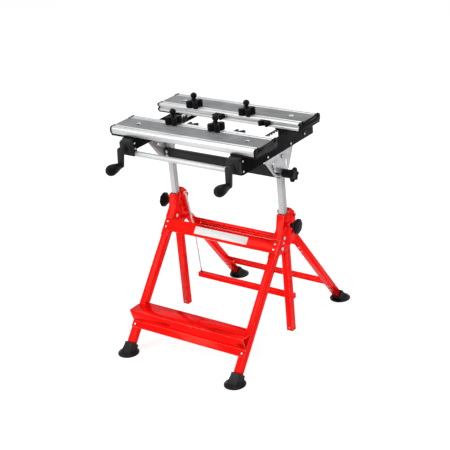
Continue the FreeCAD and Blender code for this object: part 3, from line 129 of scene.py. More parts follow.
def seen_directly(tree):
    """1 for rays from the camera and for mirror and glass rays, which show the white background."""
    path = tree.nodes.new("ShaderNodeLightPath")
    total = path.outputs["Is Camera Ray"]
    for name in ("Is Glossy Ray", "Is Transmission Ray"):
        larger = tree.nodes.new("ShaderNodeMath")
        larger.operation = "MAXIMUM"
        tree.links.new(total, larger.inputs[0])
        tree.links.new(path.outputs[name], larger.inputs[1])
        total = larger.outputs[0]
    return total


def join_shaders(tree, usual, direct, output):
    """One shader for the light that falls on things, and another where the surface is seen."""
    mix = tree.nodes.new("ShaderNodeMixShader")
    tree.links.new(seen_directly(tree), mix.inputs[0])
    tree.links.new(usual.outputs[0], mix.inputs[1])
    tree.links.new(direct.outputs[0], mix.inputs[2])
    tree.links.new(mix.outputs[0], output.inputs["Surface"])


def make_world():
    world = bpy.data.worlds.new("studio")
    bpy.context.scene.world = world
    world.use_nodes = True
    tree = world.node_tree
    tree.nodes.clear()
    output = tree.nodes.new("ShaderNodeOutputWorld")
    light = tree.nodes.new("ShaderNodeBackground")
    light.inputs["Strength"].default_value = WORLD_LIGHT
    white = tree.nodes.new("ShaderNodeBackground")
    light.inputs["Color"].default_value = (1, 1, 1, 1)
    white.inputs["Color"].default_value = (1, 1, 1, 1)
    join_shaders(tree, light, white, output)


def make_floor():
    mesh = bpy.data.meshes.new("floor")
    corners = [(x * FLOOR_REACH, y * FLOOR_REACH, 0)
               for x, y in ((-1, -1), (1, -1), (1, 1), (-1, 1))]
    mesh.from_pydata(corners, [], [(0, 1, 2, 3)])
    floor = bpy.data.objects.new("floor", mesh)
    bpy.context.scene.collection.objects.link(floor)
    floor.location.z = -FLOOR_DROP
    material = bpy.data.materials.new("floor_white")
    material.use_nodes = True
    tree = material.node_tree
    tree.nodes.clear()
    output = tree.nodes.new("ShaderNodeOutputMaterial")
    plain = tree.nodes.new("ShaderNodeBsdfDiffuse")
    plain.inputs["Color"].default_value = (FLOOR_COLOUR, FLOOR_COLOUR, FLOOR_COLOUR, 1)
    half = tree.nodes.new("ShaderNodeBsdfDiffuse")
    shade = FLOOR_COLOUR / 2
    half.inputs["Color"].default_value = (shade, shade, shade, 1)
    glow = tree.nodes.new("ShaderNodeEmission")
    glow.inputs["Strength"].default_value = FLOOR_GLOW
    bright = tree.nodes.new("ShaderNodeAddShader")
    tree.links.new(half.outputs[0], bright.inputs[0])
    tree.links.new(glow.outputs[0], bright.inputs[1])
    join_shaders(tree, plain, bright, output)
    mesh.materials.append(material)


# Materials: bands of the noise that the looks are cut from, scales per metre and details.
CLOUD_BAND = (0.32, 0.68)
CLOUD_DETAIL = 4
SPECKLE_BAND = (0.62, 0.72)
SPECKLE_DETAIL = 2
# Patches of the edge colour, which paints highlight lines along the edges.
EDGE_PATCH_BAND = (0.30, 0.58)
EDGE_PATCH_SCALE = 160
EDGE_PATCH_DETAIL = 3
RUB_BAND = (0.3, 0.7)
RUB_FINENESS = 4
RUB_DETAIL = 5
GRAIN_DETAIL = 3
RIPPLE_DETAIL = 1
RIPPLE_STRENGTH = 0.6
# Cosine between the rounded and the true normal: on an open face, and close to an edge.
EDGE_BAND = (0.995, 0.86)
EDGE_SAMPLES = 4


def noise(tree, place, scale, detail, stretch=(1, 1, 1)):
    mapping = tree.nodes.new("ShaderNodeMapping")
    mapping.inputs["Scale"].default_value = stretch
    tree.links.new(place, mapping.inputs["Vector"])
    texture = tree.nodes.new("ShaderNodeTexNoise")
    texture.inputs["Scale"].default_value = scale
    texture.inputs["Detail"].default_value = detail
    tree.links.new(mapping.outputs[0], texture.inputs["Vector"])
    return texture.outputs["Fac"]


def spread(tree, value, low, high, out_low, out_high):
    """Maps value from low..high to out_low..out_high, smoothly and clamped."""
    span = tree.nodes.new("ShaderNodeMapRange")
    span.interpolation_type = "SMOOTHSTEP"
    for key, number in (("From Min", low), ("From Max", high),
                        ("To Min", out_low), ("To Max", out_high)):
        span.inputs[key].default_value = number
    tree.links.new(value, span.inputs["Value"])
    return span.outputs["Result"]


def mixed(tree, share, first, second):
    """A colour between two others, each a colour or a socket."""
    mix = tree.nodes.new("ShaderNodeMix")
    mix.data_type = "RGBA"
    tree.links.new(share, mix.inputs["Factor"])
    sockets = [s for s in mix.inputs if s.type == "RGBA"]
    for socket, colour in zip(sockets, (first, second)):
        if isinstance(colour, tuple):
            socket.default_value = (*colour, 1)
        else:
            tree.links.new(colour, socket)
    return [s for s in mix.outputs if s.type == "RGBA"][0]


def edge_share(tree, radius):
    """1 close to an edge of the shape and 0 on its open faces, and the normal rounded there."""
    bevel = tree.nodes.new("ShaderNodeBevel")
    bevel.samples = EDGE_SAMPLES
    bevel.inputs["Radius"].default_value = radius
    shape = tree.nodes.new("ShaderNodeNewGeometry")
    dot = tree.nodes.new("ShaderNodeVectorMath")
    dot.operation = "DOT_PRODUCT"
    tree.links.new(bevel.outputs[0], dot.inputs[0])
    tree.links.new(shape.outputs["Normal"], dot.inputs[1])
    return spread(tree, dot.outputs["Value"], *EDGE_BAND, 0, 1), bevel.outputs[0]


def make_material(name, tones, roughness, metallic=0.0, specular=0.5, patch=9.0,
                  grain=700.0, grain_depth=0.00004, grain_strength=0.25, stretch=(1, 1, 1),
                  edge=None, edge_radius=0.0007, speckle=None, anisotropic=0.0, ripple=None,
                  shine=(1, 1, 1)):
    """A node material. tones are its darker and lighter colour, roughness its low and high value.
    edge is a colour laid in patches on the rounded edges, as painted highlight lines where it is
    lighter than the tones, and its share, speckle a colour, scale and share, ripple a scale and
    depth, and shine the tint of the mirror reflection."""
    material = bpy.data.materials.new(name)
    material.use_nodes = True
    tree = material.node_tree
    tree.nodes.clear()
    output = tree.nodes.new("ShaderNodeOutputMaterial")
    shader = tree.nodes.new("ShaderNodeBsdfPrincipled")
    tree.links.new(shader.outputs[0], output.inputs["Surface"])
    place = tree.nodes.new("ShaderNodeTexCoord").outputs["Object"]
    cloud = noise(tree, place, patch, CLOUD_DETAIL)
    colour = mixed(tree, spread(tree, cloud, *CLOUD_BAND, 0, 1), *tones)
    if speckle:
        tint, scale, share = speckle
        dots = noise(tree, place, scale, SPECKLE_DETAIL)
        colour = mixed(tree, spread(tree, dots, *SPECKLE_BAND, 0, share), colour, tint)
    rounded, smooth = edge_share(tree, edge_radius)
    # The edge colour in patches on the rounded edges: painted highlight lines where it is lighter
    # than the tones.
    if edge:
        tint, share = edge
        edge_patches = noise(tree, place, EDGE_PATCH_SCALE, EDGE_PATCH_DETAIL)
        edge_tint_share = tree.nodes.new("ShaderNodeMath")
        edge_tint_share.operation = "MULTIPLY"
        tree.links.new(rounded, edge_tint_share.inputs[0])
        tree.links.new(spread(tree, edge_patches, *EDGE_PATCH_BAND, 0, share), edge_tint_share.inputs[1])
        colour = mixed(tree, edge_tint_share.outputs[0], colour, tint)
    tree.links.new(colour, shader.inputs["Base Color"])
    rub = noise(tree, place, patch * RUB_FINENESS, RUB_DETAIL, stretch)
    tree.links.new(spread(tree, rub, *RUB_BAND, *roughness), shader.inputs["Roughness"])
    shader.inputs["Metallic"].default_value = metallic
    shader.inputs["Specular IOR Level"].default_value = specular
    shader.inputs["Specular Tint"].default_value = (*shine, 1)
    shader.inputs["Anisotropic"].default_value = anisotropic
    bump = tree.nodes.new("ShaderNodeBump")
    bump.inputs["Strength"].default_value = grain_strength
    bump.inputs["Distance"].default_value = grain_depth
    tree.links.new(noise(tree, place, grain, GRAIN_DETAIL, stretch), bump.inputs["Height"])
    tree.links.new(smooth, bump.inputs["Normal"])
    normal = bump.outputs[0]
    if ripple:
        scale, depth = ripple
        wave = tree.nodes.new("ShaderNodeBump")
        wave.inputs["Strength"].default_value = RIPPLE_STRENGTH
        wave.inputs["Distance"].default_value = depth
        tree.links.new(noise(tree, place, scale, RIPPLE_DETAIL), wave.inputs["Height"])
        tree.links.new(normal, wave.inputs["Normal"])
        normal = wave.outputs[0]
    tree.links.new(normal, shader.inputs["Normal"])
    return material


# Looks by name, each as make_material takes it.
# An edge colour lighter than a look's tones paints highlight lines along its edges.
LOOKS = {
    # Red paint: its pale pink edge colour paints the highlight lines along the folds.
    "red_paint": dict(
        tones=((0.90, 0.008, 0.006), (0.96, 0.012, 0.008)), roughness=(0.12, 0.2),
        metallic=0.55, specular=0.07, shine=(1, 0.018, 0.014), edge=((1.0, 0.32, 0.25), 0.8),
        edge_radius=0.0032, grain=420, grain_depth=0.000006, ripple=(45, 0.00002)),
    "black_paint": dict(
        tones=((0.004, 0.004, 0.0043), (0.008, 0.008, 0.0084)), roughness=(0.4, 0.54),
        specular=0.04, shine=(0.25, 0.25, 0.26), edge=((0.045, 0.045, 0.047), 0.5),
        edge_radius=0.0009, grain=650, grain_depth=0.00005),
    "black_plastic": dict(
        tones=((0.004, 0.004, 0.0044), (0.008, 0.008, 0.0084)), roughness=(0.36, 0.52),
        specular=0.13, shine=(0.35, 0.35, 0.36), grain=1500, grain_depth=0.00006,
        grain_strength=0.35, edge=((0.045, 0.045, 0.045), 0.35)),
    "rubber": dict(
        tones=((0.003, 0.003, 0.0034), (0.006, 0.006, 0.0064)), roughness=(0.3, 0.42),
        specular=0.12, grain=1100, grain_depth=0.00008, grain_strength=0.4,
        speckle=((0.010, 0.010, 0.010), 500, 0.4)),
    "zinc_steel": dict(
        tones=((0.46, 0.465, 0.48), (0.66, 0.67, 0.69)), roughness=(0.24, 0.4), metallic=1.0,
        patch=40, grain=900, grain_depth=0.00003, edge=((0.85, 0.85, 0.86), 0.6),
        speckle=((0.54, 0.55, 0.56), 260, 0.5)),
    "grey_paint": dict(
        tones=((0.50, 0.505, 0.51), (0.58, 0.585, 0.59)), roughness=(0.32, 0.45), specular=0.25,
        edge=((0.75, 0.75, 0.75), 0.5), edge_radius=0.001, grain=600, grain_depth=0.00004),
    "aluminium": dict(
        tones=((0.58, 0.585, 0.59), (0.67, 0.675, 0.68)), roughness=(0.42, 0.54), metallic=1.0,
        patch=6, grain=1400, grain_depth=0.00003, stretch=(0.02, 1, 1), anisotropic=0.4,
        edge=((0.92, 0.92, 0.92), 0.5)),
    "grey_inlay": dict(
        tones=((0.137, 0.14, 0.143), (0.19, 0.194, 0.198)), roughness=(0.4, 0.54), specular=0.2,
        patch=14, grain=1200, grain_depth=0.00006, grain_strength=0.4,
        speckle=((0.30, 0.305, 0.31), 420, 0.6)),
    "galvanised": dict(
        tones=((0.42, 0.43, 0.44), (0.56, 0.57, 0.58)), roughness=(0.34, 0.52), metallic=0.85,
        patch=26, grain=500, grain_depth=0.00004, speckle=((0.64, 0.65, 0.66), 120, 0.45)),
    "cast_grey": dict(
        tones=((0.013, 0.0133, 0.014), (0.024, 0.0245, 0.025)), roughness=(0.42, 0.58),
        specular=0.2, shine=(0.4, 0.4, 0.4), grain=800, grain_depth=0.0001, grain_strength=0.4,
        edge=((0.09, 0.09, 0.09), 0.5)),
    "tube_steel": dict(
        tones=((0.54, 0.545, 0.55), (0.60, 0.605, 0.61)), roughness=(0.5, 0.62), metallic=0.6,
        patch=9, grain=1400, grain_depth=0.00002, stretch=(0.02, 1, 1),
        edge=((0.85, 0.85, 0.86), 0.5)),
    "label": dict(
        tones=((0.74, 0.73, 0.71), (0.80, 0.79, 0.77)), roughness=(0.3, 0.42), specular=0.2,
        grain=900, grain_depth=0.00002, edge=((0.5, 0.5, 0.5), 0.5), edge_radius=0.0006),
    # Painted light: a pale liner that stands for the lit far walls of the dog holes.
    "bore_painted_light_liner": dict(
        tones=((0.90, 0.90, 0.90), (0.94, 0.94, 0.94)), roughness=(0.5, 0.6), specular=0.3,
        patch=60, grain=900, grain_depth=0.00003),
}
materials = {name: make_material(name, **look) for name, look in LOOKS.items()}
# Nodes whose look is a finer one than that of their material slot.
special = {
    "tilt_plates": "galvanised", "lift_bolts": "galvanised", "front_tube": "tube_steel",
    "front_feet": "rubber", "rear_feet": "rubber", "end_blocks": "cast_grey",
    "cross_beam": "cast_grey", "left_crank": "cast_grey", "right_crank": "cast_grey",
}


def material_for(name):
    return materials[special.get(name, slot_of[name])]


def place_piece(name, mesh, node_names):
    """Puts a finished mesh in the place of CAD nodes that ride together."""
    piece = bpy.data.objects.new(name, mesh)
    bpy.context.scene.collection.objects.link(piece)
    mesh.materials.clear()
    mesh.materials.append(material_for(node_names[0]))
    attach(piece, body_of[node_names[0]])
    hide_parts(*node_names)


def add_piece(name, mesh, body, material):
    """Puts a piece beside the CAD nodes of a body."""
    piece = bpy.data.objects.new(name, mesh)
    bpy.context.scene.collection.objects.link(piece)
    mesh.materials.append(material)
    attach(piece, body)


# Skins: a copy of a CAD node whose edges are rounded as rolled, pressed or moulded ones are.
# How near points merge, and in degrees the turn that still counts as flat and that from which an
# edge is rounded.
MERGE_REACH = 0.000002
FLAT_ANGLE = 0.8
FOLD_ANGLE = 28
# A face that reaches this far from an edge is a wall of a fold, and else the cut end of a sheet.
WALL_REACH = 0.005
SHEET = 0.0015
SKIN_SEGMENTS = 3
# Angles in degrees from which an edge stays sharp.
BEVEL_SMOOTHING = 40
TURNED_SMOOTHING = 38


def face_reach(face, edge):
    """How far a face runs back from one of its edges."""
    start, end = (v.co for v in edge.verts)
    along = (end - start).normalized()
    offsets = [v.co - start for v in face.verts]
    return max((o - along * o.dot(along)).length for o in offsets)


def smooth_by_angle(mesh, angle):
    mesh.polygons.foreach_set("use_smooth", [True] * len(mesh.polygons))
    mesh.set_sharp_from_angle(angle=math.radians(angle))


def box_mesh(name, low, high):
    """A mesh with the corners of a box, used to cut others."""
    shape = bmesh.new()
    bmesh.ops.create_cube(shape, size=1)
    for v in shape.verts:
        v.co = Vector((low[i] + (v.co[i] + 0.5) * (high[i] - low[i]) for i in range(3)))
    mesh = bpy.data.meshes.new(name)
    shape.to_mesh(mesh)
    shape.free()
    return mesh


def evaluated_mesh(holder):
    """A holder's mesh as its modifiers leave it."""
    bpy.context.view_layer.update()
    depsgraph = bpy.context.evaluated_depsgraph_get()
    return bpy.data.meshes.new_from_object(holder.evaluated_get(depsgraph))


def discard(holder):
    mesh = holder.data
    bpy.data.objects.remove(holder)
    bpy.data.meshes.remove(mesh)


def opened(name, low, high):
    """A copy of a node's mesh without what lies in a box."""
    solid = bpy.data.objects.new(name + "_whole", nodes[name].data.copy())
    tool = bpy.data.objects.new(name + "_tool", box_mesh(name + "_tool", low, high))
    for holder in (solid, tool):
        bpy.context.scene.collection.objects.link(holder)
    cut = solid.modifiers.new("window", "BOOLEAN")
    cut.operation = "DIFFERENCE"
    cut.object = tool
    done = evaluated_mesh(solid)
    discard(solid)
    discard(tool)
    return done


def clean_shape(mesh):
    """A mesh to edit, without doubled points and without edges across flat faces."""
    shape = bmesh.new()
    shape.from_mesh(mesh)
    bmesh.ops.remove_doubles(shape, verts=shape.verts, dist=MERGE_REACH)
    bmesh.ops.dissolve_limit(shape, angle_limit=math.radians(FLAT_ANGLE), verts=shape.verts,
                             edges=shape.edges, use_dissolve_boundaries=False)
    return shape


def bevelled(name, shape, width, segments):
    """Turns the mesh being built into one whose weighted edges are rounded."""
    mesh = bpy.data.meshes.new(name + "_plain")
    shape.to_mesh(mesh)
    shape.free()
    holder = bpy.data.objects.new(name + "_plain", mesh)
    bpy.context.scene.collection.objects.link(holder)
    bevel = holder.modifiers.new("edges", "BEVEL")
    bevel.limit_method = "WEIGHT"
    bevel.width = width
    bevel.segments = segments
    bevel.use_clamp_overlap = False
    bevel.harden_normals = True
    done = evaluated_mesh(holder)
    discard(holder)
    smooth_by_angle(done, BEVEL_SMOOTHING)
    return done


def skin(name, fold, edge, sheet=SHEET, source=None):
    """fold is the outer radius along folds, edge the radius along cut edges, sheet what the inside
    of a fold has less, and source a mesh to use in place of the node's own."""
    shape = clean_shape(source or nodes[name].data)
    weights = shape.edges.layers.float.new("bevel_weight_edge")
    for e in shape.edges:
        if len(e.link_faces) != 2 or e.calc_face_angle(0) < math.radians(FOLD_ANGLE):
            continue
        radius = edge
        if min(face_reach(f, e) for f in e.link_faces) > WALL_REACH:
            radius = fold if e.is_convex else max(fold - sheet, edge)
        e[weights] = radius / max(fold, edge)
    place_piece(name + "_skin", bevelled(name, shape, max(fold, edge), SKIN_SEGMENTS), [name])


# Turned and moulded pieces, made ring by ring

def join_loops(shape, loops):
    for low, high in zip(loops, loops[1:]):
        for i in range(len(low)):
            j = (i + 1) % len(low)
            shape.faces.new((low[i], low[j], high[j], high[i]))


def add_rings(shape, rings):
    """Joins equal rings of points from the first to the last and closes both ends."""
    loops = [[shape.verts.new(point) for point in ring] for ring in rings]
    join_loops(shape, loops)
    shape.faces.new(loops[0][::-1])
    shape.faces.new(loops[-1])


def add_tube(shape, rings):
    """Joins equal rings of points in a closed loop, from the last back to the first."""
    loops = [[shape.verts.new(point) for point in ring] for ring in rings]
    join_loops(shape, loops + loops[:1])


def finish_mesh(name, shape, angle=TURNED_SMOOTHING):
    """Turns the mesh being built into a finished one, smooth but for its sharper edges."""
    bmesh.ops.recalc_face_normals(shape, faces=shape.faces)
    mesh = bpy.data.meshes.new(name)
    shape.to_mesh(mesh)
    shape.free()
    smooth_by_angle(mesh, angle)
    return mesh


def smooth_profile(points, steps):
    """A finer list of points through the given ones, on a Catmull-Rom curve."""
    ends = [points[0], *points, points[-1]]
    fine = []
    for a, b, c, d in zip(ends, ends[1:], ends[2:], ends[3:]):
        for step in range(steps):
            t = step / steps
            fine.append(tuple(0.5 * (2 * q + (r - p) * t + (2 * p - 5 * q + 4 * r - u) * t * t
                                     + (3 * q - p - 3 * r + u) * t ** 3)
                              for p, q, r, u in zip(a, b, c, d)))
    fine.append(points[-1])
    return fine


AXES = {"x": (Vector((1, 0, 0)), Vector((0, 1, 0)), Vector((0, 0, 1))),
        "y": (Vector((0, 1, 0)), Vector((0, 0, 1)), Vector((1, 0, 0))),
        "z": (Vector((0, 0, 1)), Vector((1, 0, 0)), Vector((0, 1, 0)))}
# The higher, the broader the lobes and the narrower the valleys between them.
LOBE_POWER = 1.5


def turned_rings(start, axis, direction, profile, count=64, lobes=0):
    """Rings of count points along an axis from start. profile lists a distance, a radius and a
    depth of the valleys between the lobes as a share of that radius."""
    along, side, other = AXES[axis]
    rings = []
    for distance, radius, *valley in profile:
        depth = valley[0] if valley else 0
        ring = []
        for i in range(count):
            angle = 2 * math.pi * i / count
            reach = radius * (1 - depth * abs(math.sin(lobes * angle / 2)) ** LOBE_POWER)
            ring.append(start + along * direction * distance
                        + side * reach * math.cos(angle) + other * reach * math.sin(angle))
        rings.append(ring)
    return rings


def box_centre(name):
    """The middle and the size of a node's box."""
    low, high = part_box(name)
    return (low + high) / 2, high - low


# Egg grip: distance from its collar as a share of its length, and radius as a share of its widest.
GRIP_SHARES = ((0.0, 0.50), (0.005, 0.57), (0.03, 0.60), (0.075, 0.60), (0.09, 0.57), (0.105, 0.60),
               (0.25, 0.76), (0.45, 0.91), (0.60, 0.985), (0.70, 1.0), (0.82, 0.93), (0.92, 0.72),
               (0.965, 0.53), (0.985, 0.40), (0.992, 0.30), (0.975, 0.26), (0.97, 0.02))
GRIP_RADIUS = 0.0202
GRIP_STEPS = 4


def make_grips():
    for name in ("left_grip", "right_grip"):
        centre, size = box_centre(name)
        start = Vector((centre.x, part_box(name)[1].y, centre.z))
        profile = [(share * size.y, reach * GRIP_RADIUS) for share, reach in GRIP_SHARES]
        shape = bmesh.new()
        add_rings(shape, turned_rings(start, "y", -1, smooth_profile(profile, GRIP_STEPS)))
        place_piece(name + "_egg", finish_mesh(name + "_egg", shape), [name])


# Hand knobs: distance from the seat and radius in millimetres, and the valleys between the lobes.
TILT_KNOB = ((-3, 2.9), (-0.2, 2.9), (0, 14.6), (0.6, 15.4), (9, 15.5), (20, 15.4), (29, 15.4),
             (31, 15.8, 0.03), (32.2, 18.5, 0.14), (33.2, 22.8, 0.26), (35.0, 25.6, 0.31),
             (38, 26.5, 0.32), (45.0, 26.5, 0.32), (48.0, 25.4, 0.31), (49.6, 22.0, 0.26),
             (50, 17.0, 0.1), (50, 11.5), (49.2, 10.2), (49.0, 0.3))
HEIGHT_KNOB = ((-4.4, 2.9), (14.5, 2.9), (14.7, 8.6), (15.4, 9.4), (19, 9.8), (22.5, 11.2),
               (28, 15.8), (34, 21.6), (39, 26.8, 0.03), (41.3, 28.8, 0.05), (43, 29.5, 0.055),
               (44.4, 28.9, 0.05), (46.4, 25.4, 0.03), (48.2, 18.8), (49.4, 11.4), (50, 4.6),
               (50, 0.3))
# The fixed boss under a height knob, in millimetres too.
KNOB_BOSS = ((0, 9.6), (11.0, 9.0), (13.3, 8.6), (14.2, 7.6), (14.2, 3.2), (0, 3.2))
# How far a knob's seat lies behind its outer end.
KNOB_REACH = 0.05
MILLIMETRES = 1000
# Each knob: its profile, how many lobes it has, and its side.
KNOBS = {"tilt_knob": (TILT_KNOB, 6, 1), "left_height_knob": (HEIGHT_KNOB, 8, -1),
         "right_height_knob": (HEIGHT_KNOB, 8, 1)}
KNOB_POINTS = 96
BOSS_POINTS = 40


def make_knobs():
    for name, (profile, lobes, side) in KNOBS.items():
        centre, size = box_centre(name)
        outer = centre.x + side * size.x / 2
        start = Vector((outer - side * KNOB_REACH, centre.y, centre.z))
        shape = bmesh.new()
        steps = [(along / MILLIMETRES, radius / MILLIMETRES, *valley)
                 for along, radius, *valley in profile]
        add_rings(shape, turned_rings(start, "x", side, steps, KNOB_POINTS, lobes))
        place_piece(name + "_moulding", finish_mesh(name + "_moulding", shape), [name])
        if profile is HEIGHT_KNOB:
            shape = bmesh.new()
            steps = [(along / MILLIMETRES, radius / MILLIMETRES) for along, radius in KNOB_BOSS]
            add_tube(shape, turned_rings(start, "x", side, steps, BOSS_POINTS))
            add_piece(name + "_boss", finish_mesh(name + "_boss", shape), "base",
                      materials["red_paint"])


# Rubber feet: a flared disc that turns into a square socket along the leaning leg.
# Distance along the leg and half width in millimetres, exponent of the ring's shape from circle to
# square, and share of the leg's lean.
FOOT_RINGS = ((0, 38.8, 2, 0), (0.9, 40, 2, 0), (3.2, 40, 2, 0), (5.0, 38.8, 2, 0),
              (6.0, 35, 2.1, 0), (7.2, 31, 2.6, 0), (8.6, 27.0, 4.5, 0.02), (11.0, 23.6, 8, 0.08),
              (15, 21.4, 14, 0.25), (21, 20.0, 22, 0.52), (28.0, 18.7, 30, 0.82), (34, 18.4, 34, 1),
              (38.2, 18.4, 34, 1), (39, 17.7, 34, 1))
FOOT_RING_POINTS = 72
FOOT_RADIUS = 0.040
FOOT_SMOOTHING = 32
# In millimetres, how high the socket's floor lies and from where the rings follow the leg in full.
SOCKET_FLOOR = 30
FOLLOW_REACH = 22
# Each pair of feet: which end it stands at, the leg's lean, and the socket's half width and depth.
FEET = {"front_feet": (-1, FRONT_LEAN, 0.0127, 0.0152),
        "rear_feet": (1, -REAR_LEAN, 0.0125, 0.0127)}


def foot_rings(centre, lean, leg_half_x, leg_half_y):
    """The rings of a foot from its sole up, over the socket's rim and down to its floor."""
    rings = []
    upward = Vector((0, math.sin(lean), math.cos(lean)))
    steps = [(along, half, half, power, share) for along, half, power, share in FOOT_RINGS]
    top = steps[-1]
    inner = (leg_half_x * MILLIMETRES, leg_half_y * MILLIMETRES)
    steps.append((top[0], *inner, top[3], 1))
    steps.append((SOCKET_FLOOR, *inner, top[3], 1))
    for along, half_x, half_y, power, share in steps:
        slope = lean * share
        side = Vector((0, math.cos(slope), -math.sin(slope)))
        level = along / MILLIMETRES
        follow = min(1.0, along / FOLLOW_REACH)
        middle = centre + Vector((0, 0, 1)) * level * (1 - follow) + upward * level * follow
        ring = []
        for i in range(FOOT_RING_POINTS):
            angle = 2 * math.pi * (i + 0.5) / FOOT_RING_POINTS
            c, s = math.cos(angle), math.sin(angle)
            x = math.copysign(abs(c) ** (2 / power), c) * half_x / MILLIMETRES
            y = math.copysign(abs(s) ** (2 / power), s) * half_y / MILLIMETRES
            point = middle + Vector((1, 0, 0)) * x + side * y
            ring.append(Vector((point.x, point.y, max(point.z, 0))))
        rings.append(ring)
    return rings


def make_feet():
    for name, (end, lean, *inner) in FEET.items():
        low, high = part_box(name)
        centre_y = low.y + FOOT_RADIUS if end < 0 else high.y - FOOT_RADIUS
        shape = bmesh.new()
        for side in (-1, 1):
            centre = Vector((side * ((high.x - low.x) / 2 - FOOT_RADIUS), centre_y, 0))
            add_rings(shape, foot_rings(centre, lean, *inner))
        place_piece(name + "_rubber", finish_mesh(name + "_rubber", shape, FOOT_SMOOTHING), [name])


# Clamping dogs: a notched block with softened corners under a ball-headed screw.
# Level, share of the block's width, and how far the ring turns into a circle.
DOG_HEIGHT = 0.027
DOG_RINGS = ((0, 0.955, 0), (0.0012, 0.99, 0), (0.003, 1.0, 0), (0.0220, 1.0, 0),
             (0.0245, 0.985, 0), (0.0258, 0.95, 0), (0.0263, 0.88, 0), (0.0266, 0.6, 0.3),
             (0.0269, 0.33, 1))
DOG_POINTS = 96
DOG_SMOOTHING = 42
# The block's outline: its exponent from circle to square, its circle's radius as a share of half
# its width, and the notches' half width in degrees, depth as a share and exponent.
DOG_SQUARENESS = 9
DOG_CIRCLE = 0.9
NOTCH_SPAN = 27
NOTCH_DEPTH = 0.46
NOTCH_POWER = 0.9
# The T-foot in the slot under the block: distance up and radius, to where its stem starts.
DOG_FOOT = ((0, 0.0058), (0.0007, 0.0065), (0.0053, 0.0065), (0.006, 0.0058), (0.006, 0.0026))
STEM_RADIUS = 0.0026
STEM_LAP = 0.001
STEM_POINTS = 32
# The screw's ball: distance below its top, and radius.
BALL_RINGS = ((0.0282, 0.0040), (0.0280, 0.0085), (0.0268, 0.0088), (0.0252, 0.0078),
              (0.0235, 0.0066), (0.0222, 0.0062), (0.0205, 0.0070), (0.0180, 0.0094),
              (0.0145, 0.0114), (0.0110, 0.0120), (0.0070, 0.0110), (0.0035, 0.0084),
              (0.0010, 0.0048), (0, 0.0004))
BALL_STEPS = 3
BALL_POINTS = 48
BALL_SMOOTHING = 50


def dog_ring(half, crown):
    """A square with a rounded vee notch in each side, drawn towards a circle as crown nears 1."""
    points = []
    for i in range(DOG_POINTS):
        angle = 2 * math.pi * (i + 0.5) / DOG_POINTS
        c, s = math.cos(angle), math.sin(angle)
        square = 1 / (abs(c) ** DOG_SQUARENESS + abs(s) ** DOG_SQUARENESS) ** (1 / DOG_SQUARENESS)
        off = abs(((math.degrees(angle) + 45) % 90) - 45)
        notch = NOTCH_DEPTH * max(0.0, 1 - off / NOTCH_SPAN) ** NOTCH_POWER
        reach = half * (square - notch * square)
        reach = reach * (1 - crown) + half * DOG_CIRCLE * crown
        points.append((reach * c, reach * s))
    return points


def make_dogs():
    for name in ("front_left_dog", "front_right_dog", "rear_left_dog", "rear_right_dog"):
        low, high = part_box(name)
        centre = (low + high) / 2
        half = (high.x - low.x) / 2
        base = high.z - DOG_HEIGHT
        shape = bmesh.new()
        add_rings(shape, [[Vector((centre.x + x, centre.y + y, base + level))
                           for x, y in dog_ring(half * scale, crown)]
                          for level, scale, crown in DOG_RINGS])
        stem = (*DOG_FOOT, (base - low.z + STEM_LAP, STEM_RADIUS))
        foot = Vector((centre.x, centre.y, low.z))
        add_rings(shape, turned_rings(foot, "z", 1, stem, STEM_POINTS))
        place_piece(name + "_block", finish_mesh(name + "_block", shape, DOG_SMOOTHING), [name])
        screw = name + "_screw"
        low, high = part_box(screw)
        stem = [(low.z - high.z, BALL_RINGS[0][1])]
        ball = smooth_profile([(-down, radius) for down, radius in BALL_RINGS], BALL_STEPS)
        top = Vector((centre.x, centre.y, high.z))
        shape = bmesh.new()
        add_rings(shape, turned_rings(top, "z", 1, stem + ball, BALL_POINTS))
        place_piece(screw + "_ball", finish_mesh(screw + "_ball", shape, BALL_SMOOTHING), [screw])


# Caps on the jaw ends: the end's own shape, a little larger, lapped over the extrusion.
CAP_LAP = 0.004
CAP_PROUD = 0.0009
CAP_EDGE = 0.0006
CAP_SEGMENTS = 2
CAP_FOLD_ANGLE = 50
# How near to the outermost x a point lies on a cap's outer face, and the share along x from which a
# face counts as an end and not as a wall.
END_REACH = 0.0005
END_SHARE = 0.5
# The least share that a corner's shift is divided by, so that a sharp corner doesn't run far out.
LEAST_SHARE = 0.5


def make_caps():
    for name in ("front_jaw_caps", "rear_jaw_caps"):
        shape = clean_shape(nodes[name].data)
        end = max(abs(v.co.x) for v in shape.verts)
        moves = []
        for v in shape.verts:
            walls = [f.normal for f in v.link_faces if abs(f.normal.x) < END_SHARE]
            shift = Vector((0, 0, 0))
            if walls:
                mean = sum(walls, Vector((0, 0, 0))).normalized()
                shift = mean * CAP_PROUD / max(mean.dot(walls[0]), LEAST_SHARE)
            if abs(v.co.x) < end - END_REACH:
                shift.x -= math.copysign(CAP_LAP, v.co.x)
            moves.append(shift)
        for v, shift in zip(shape.verts, moves):
            v.co += shift
        weights = shape.edges.layers.float.new("bevel_weight_edge")
        least_angle = math.radians(CAP_FOLD_ANGLE)
        for e in shape.edges:
            if len(e.link_faces) == 2 and e.is_convex and e.calc_face_angle(0) > least_angle:
                e[weights] = 1
        place_piece(name + "_moulding", bevelled(name, shape, CAP_EDGE, CAP_SEGMENTS), [name])


# Pale liners in the bench dog holes, painted light for their lit far walls: how far they lie
# below the top, and distance down and radius.
PAINTED_LIGHT_DROP = 0.0004
PAINTED_LIGHT_PROFILE = ((0, 0.00997), (0, 0.0099), (0.0006, 0.00985), (0.016, 0.00985), (0.016, 0.00997))
# Dark rims round the holes, painted shade in their mouths: distance below the inlay's face, and
# radius.
PAINTED_SHADE_RIM_PROFILE = ((0.0003, 0.0099), (-0.0002, 0.01), (-0.0003, 0.0102), (-0.0003, 0.0111),
               (0.0002, 0.0114))
HOLE_POINTS = 48


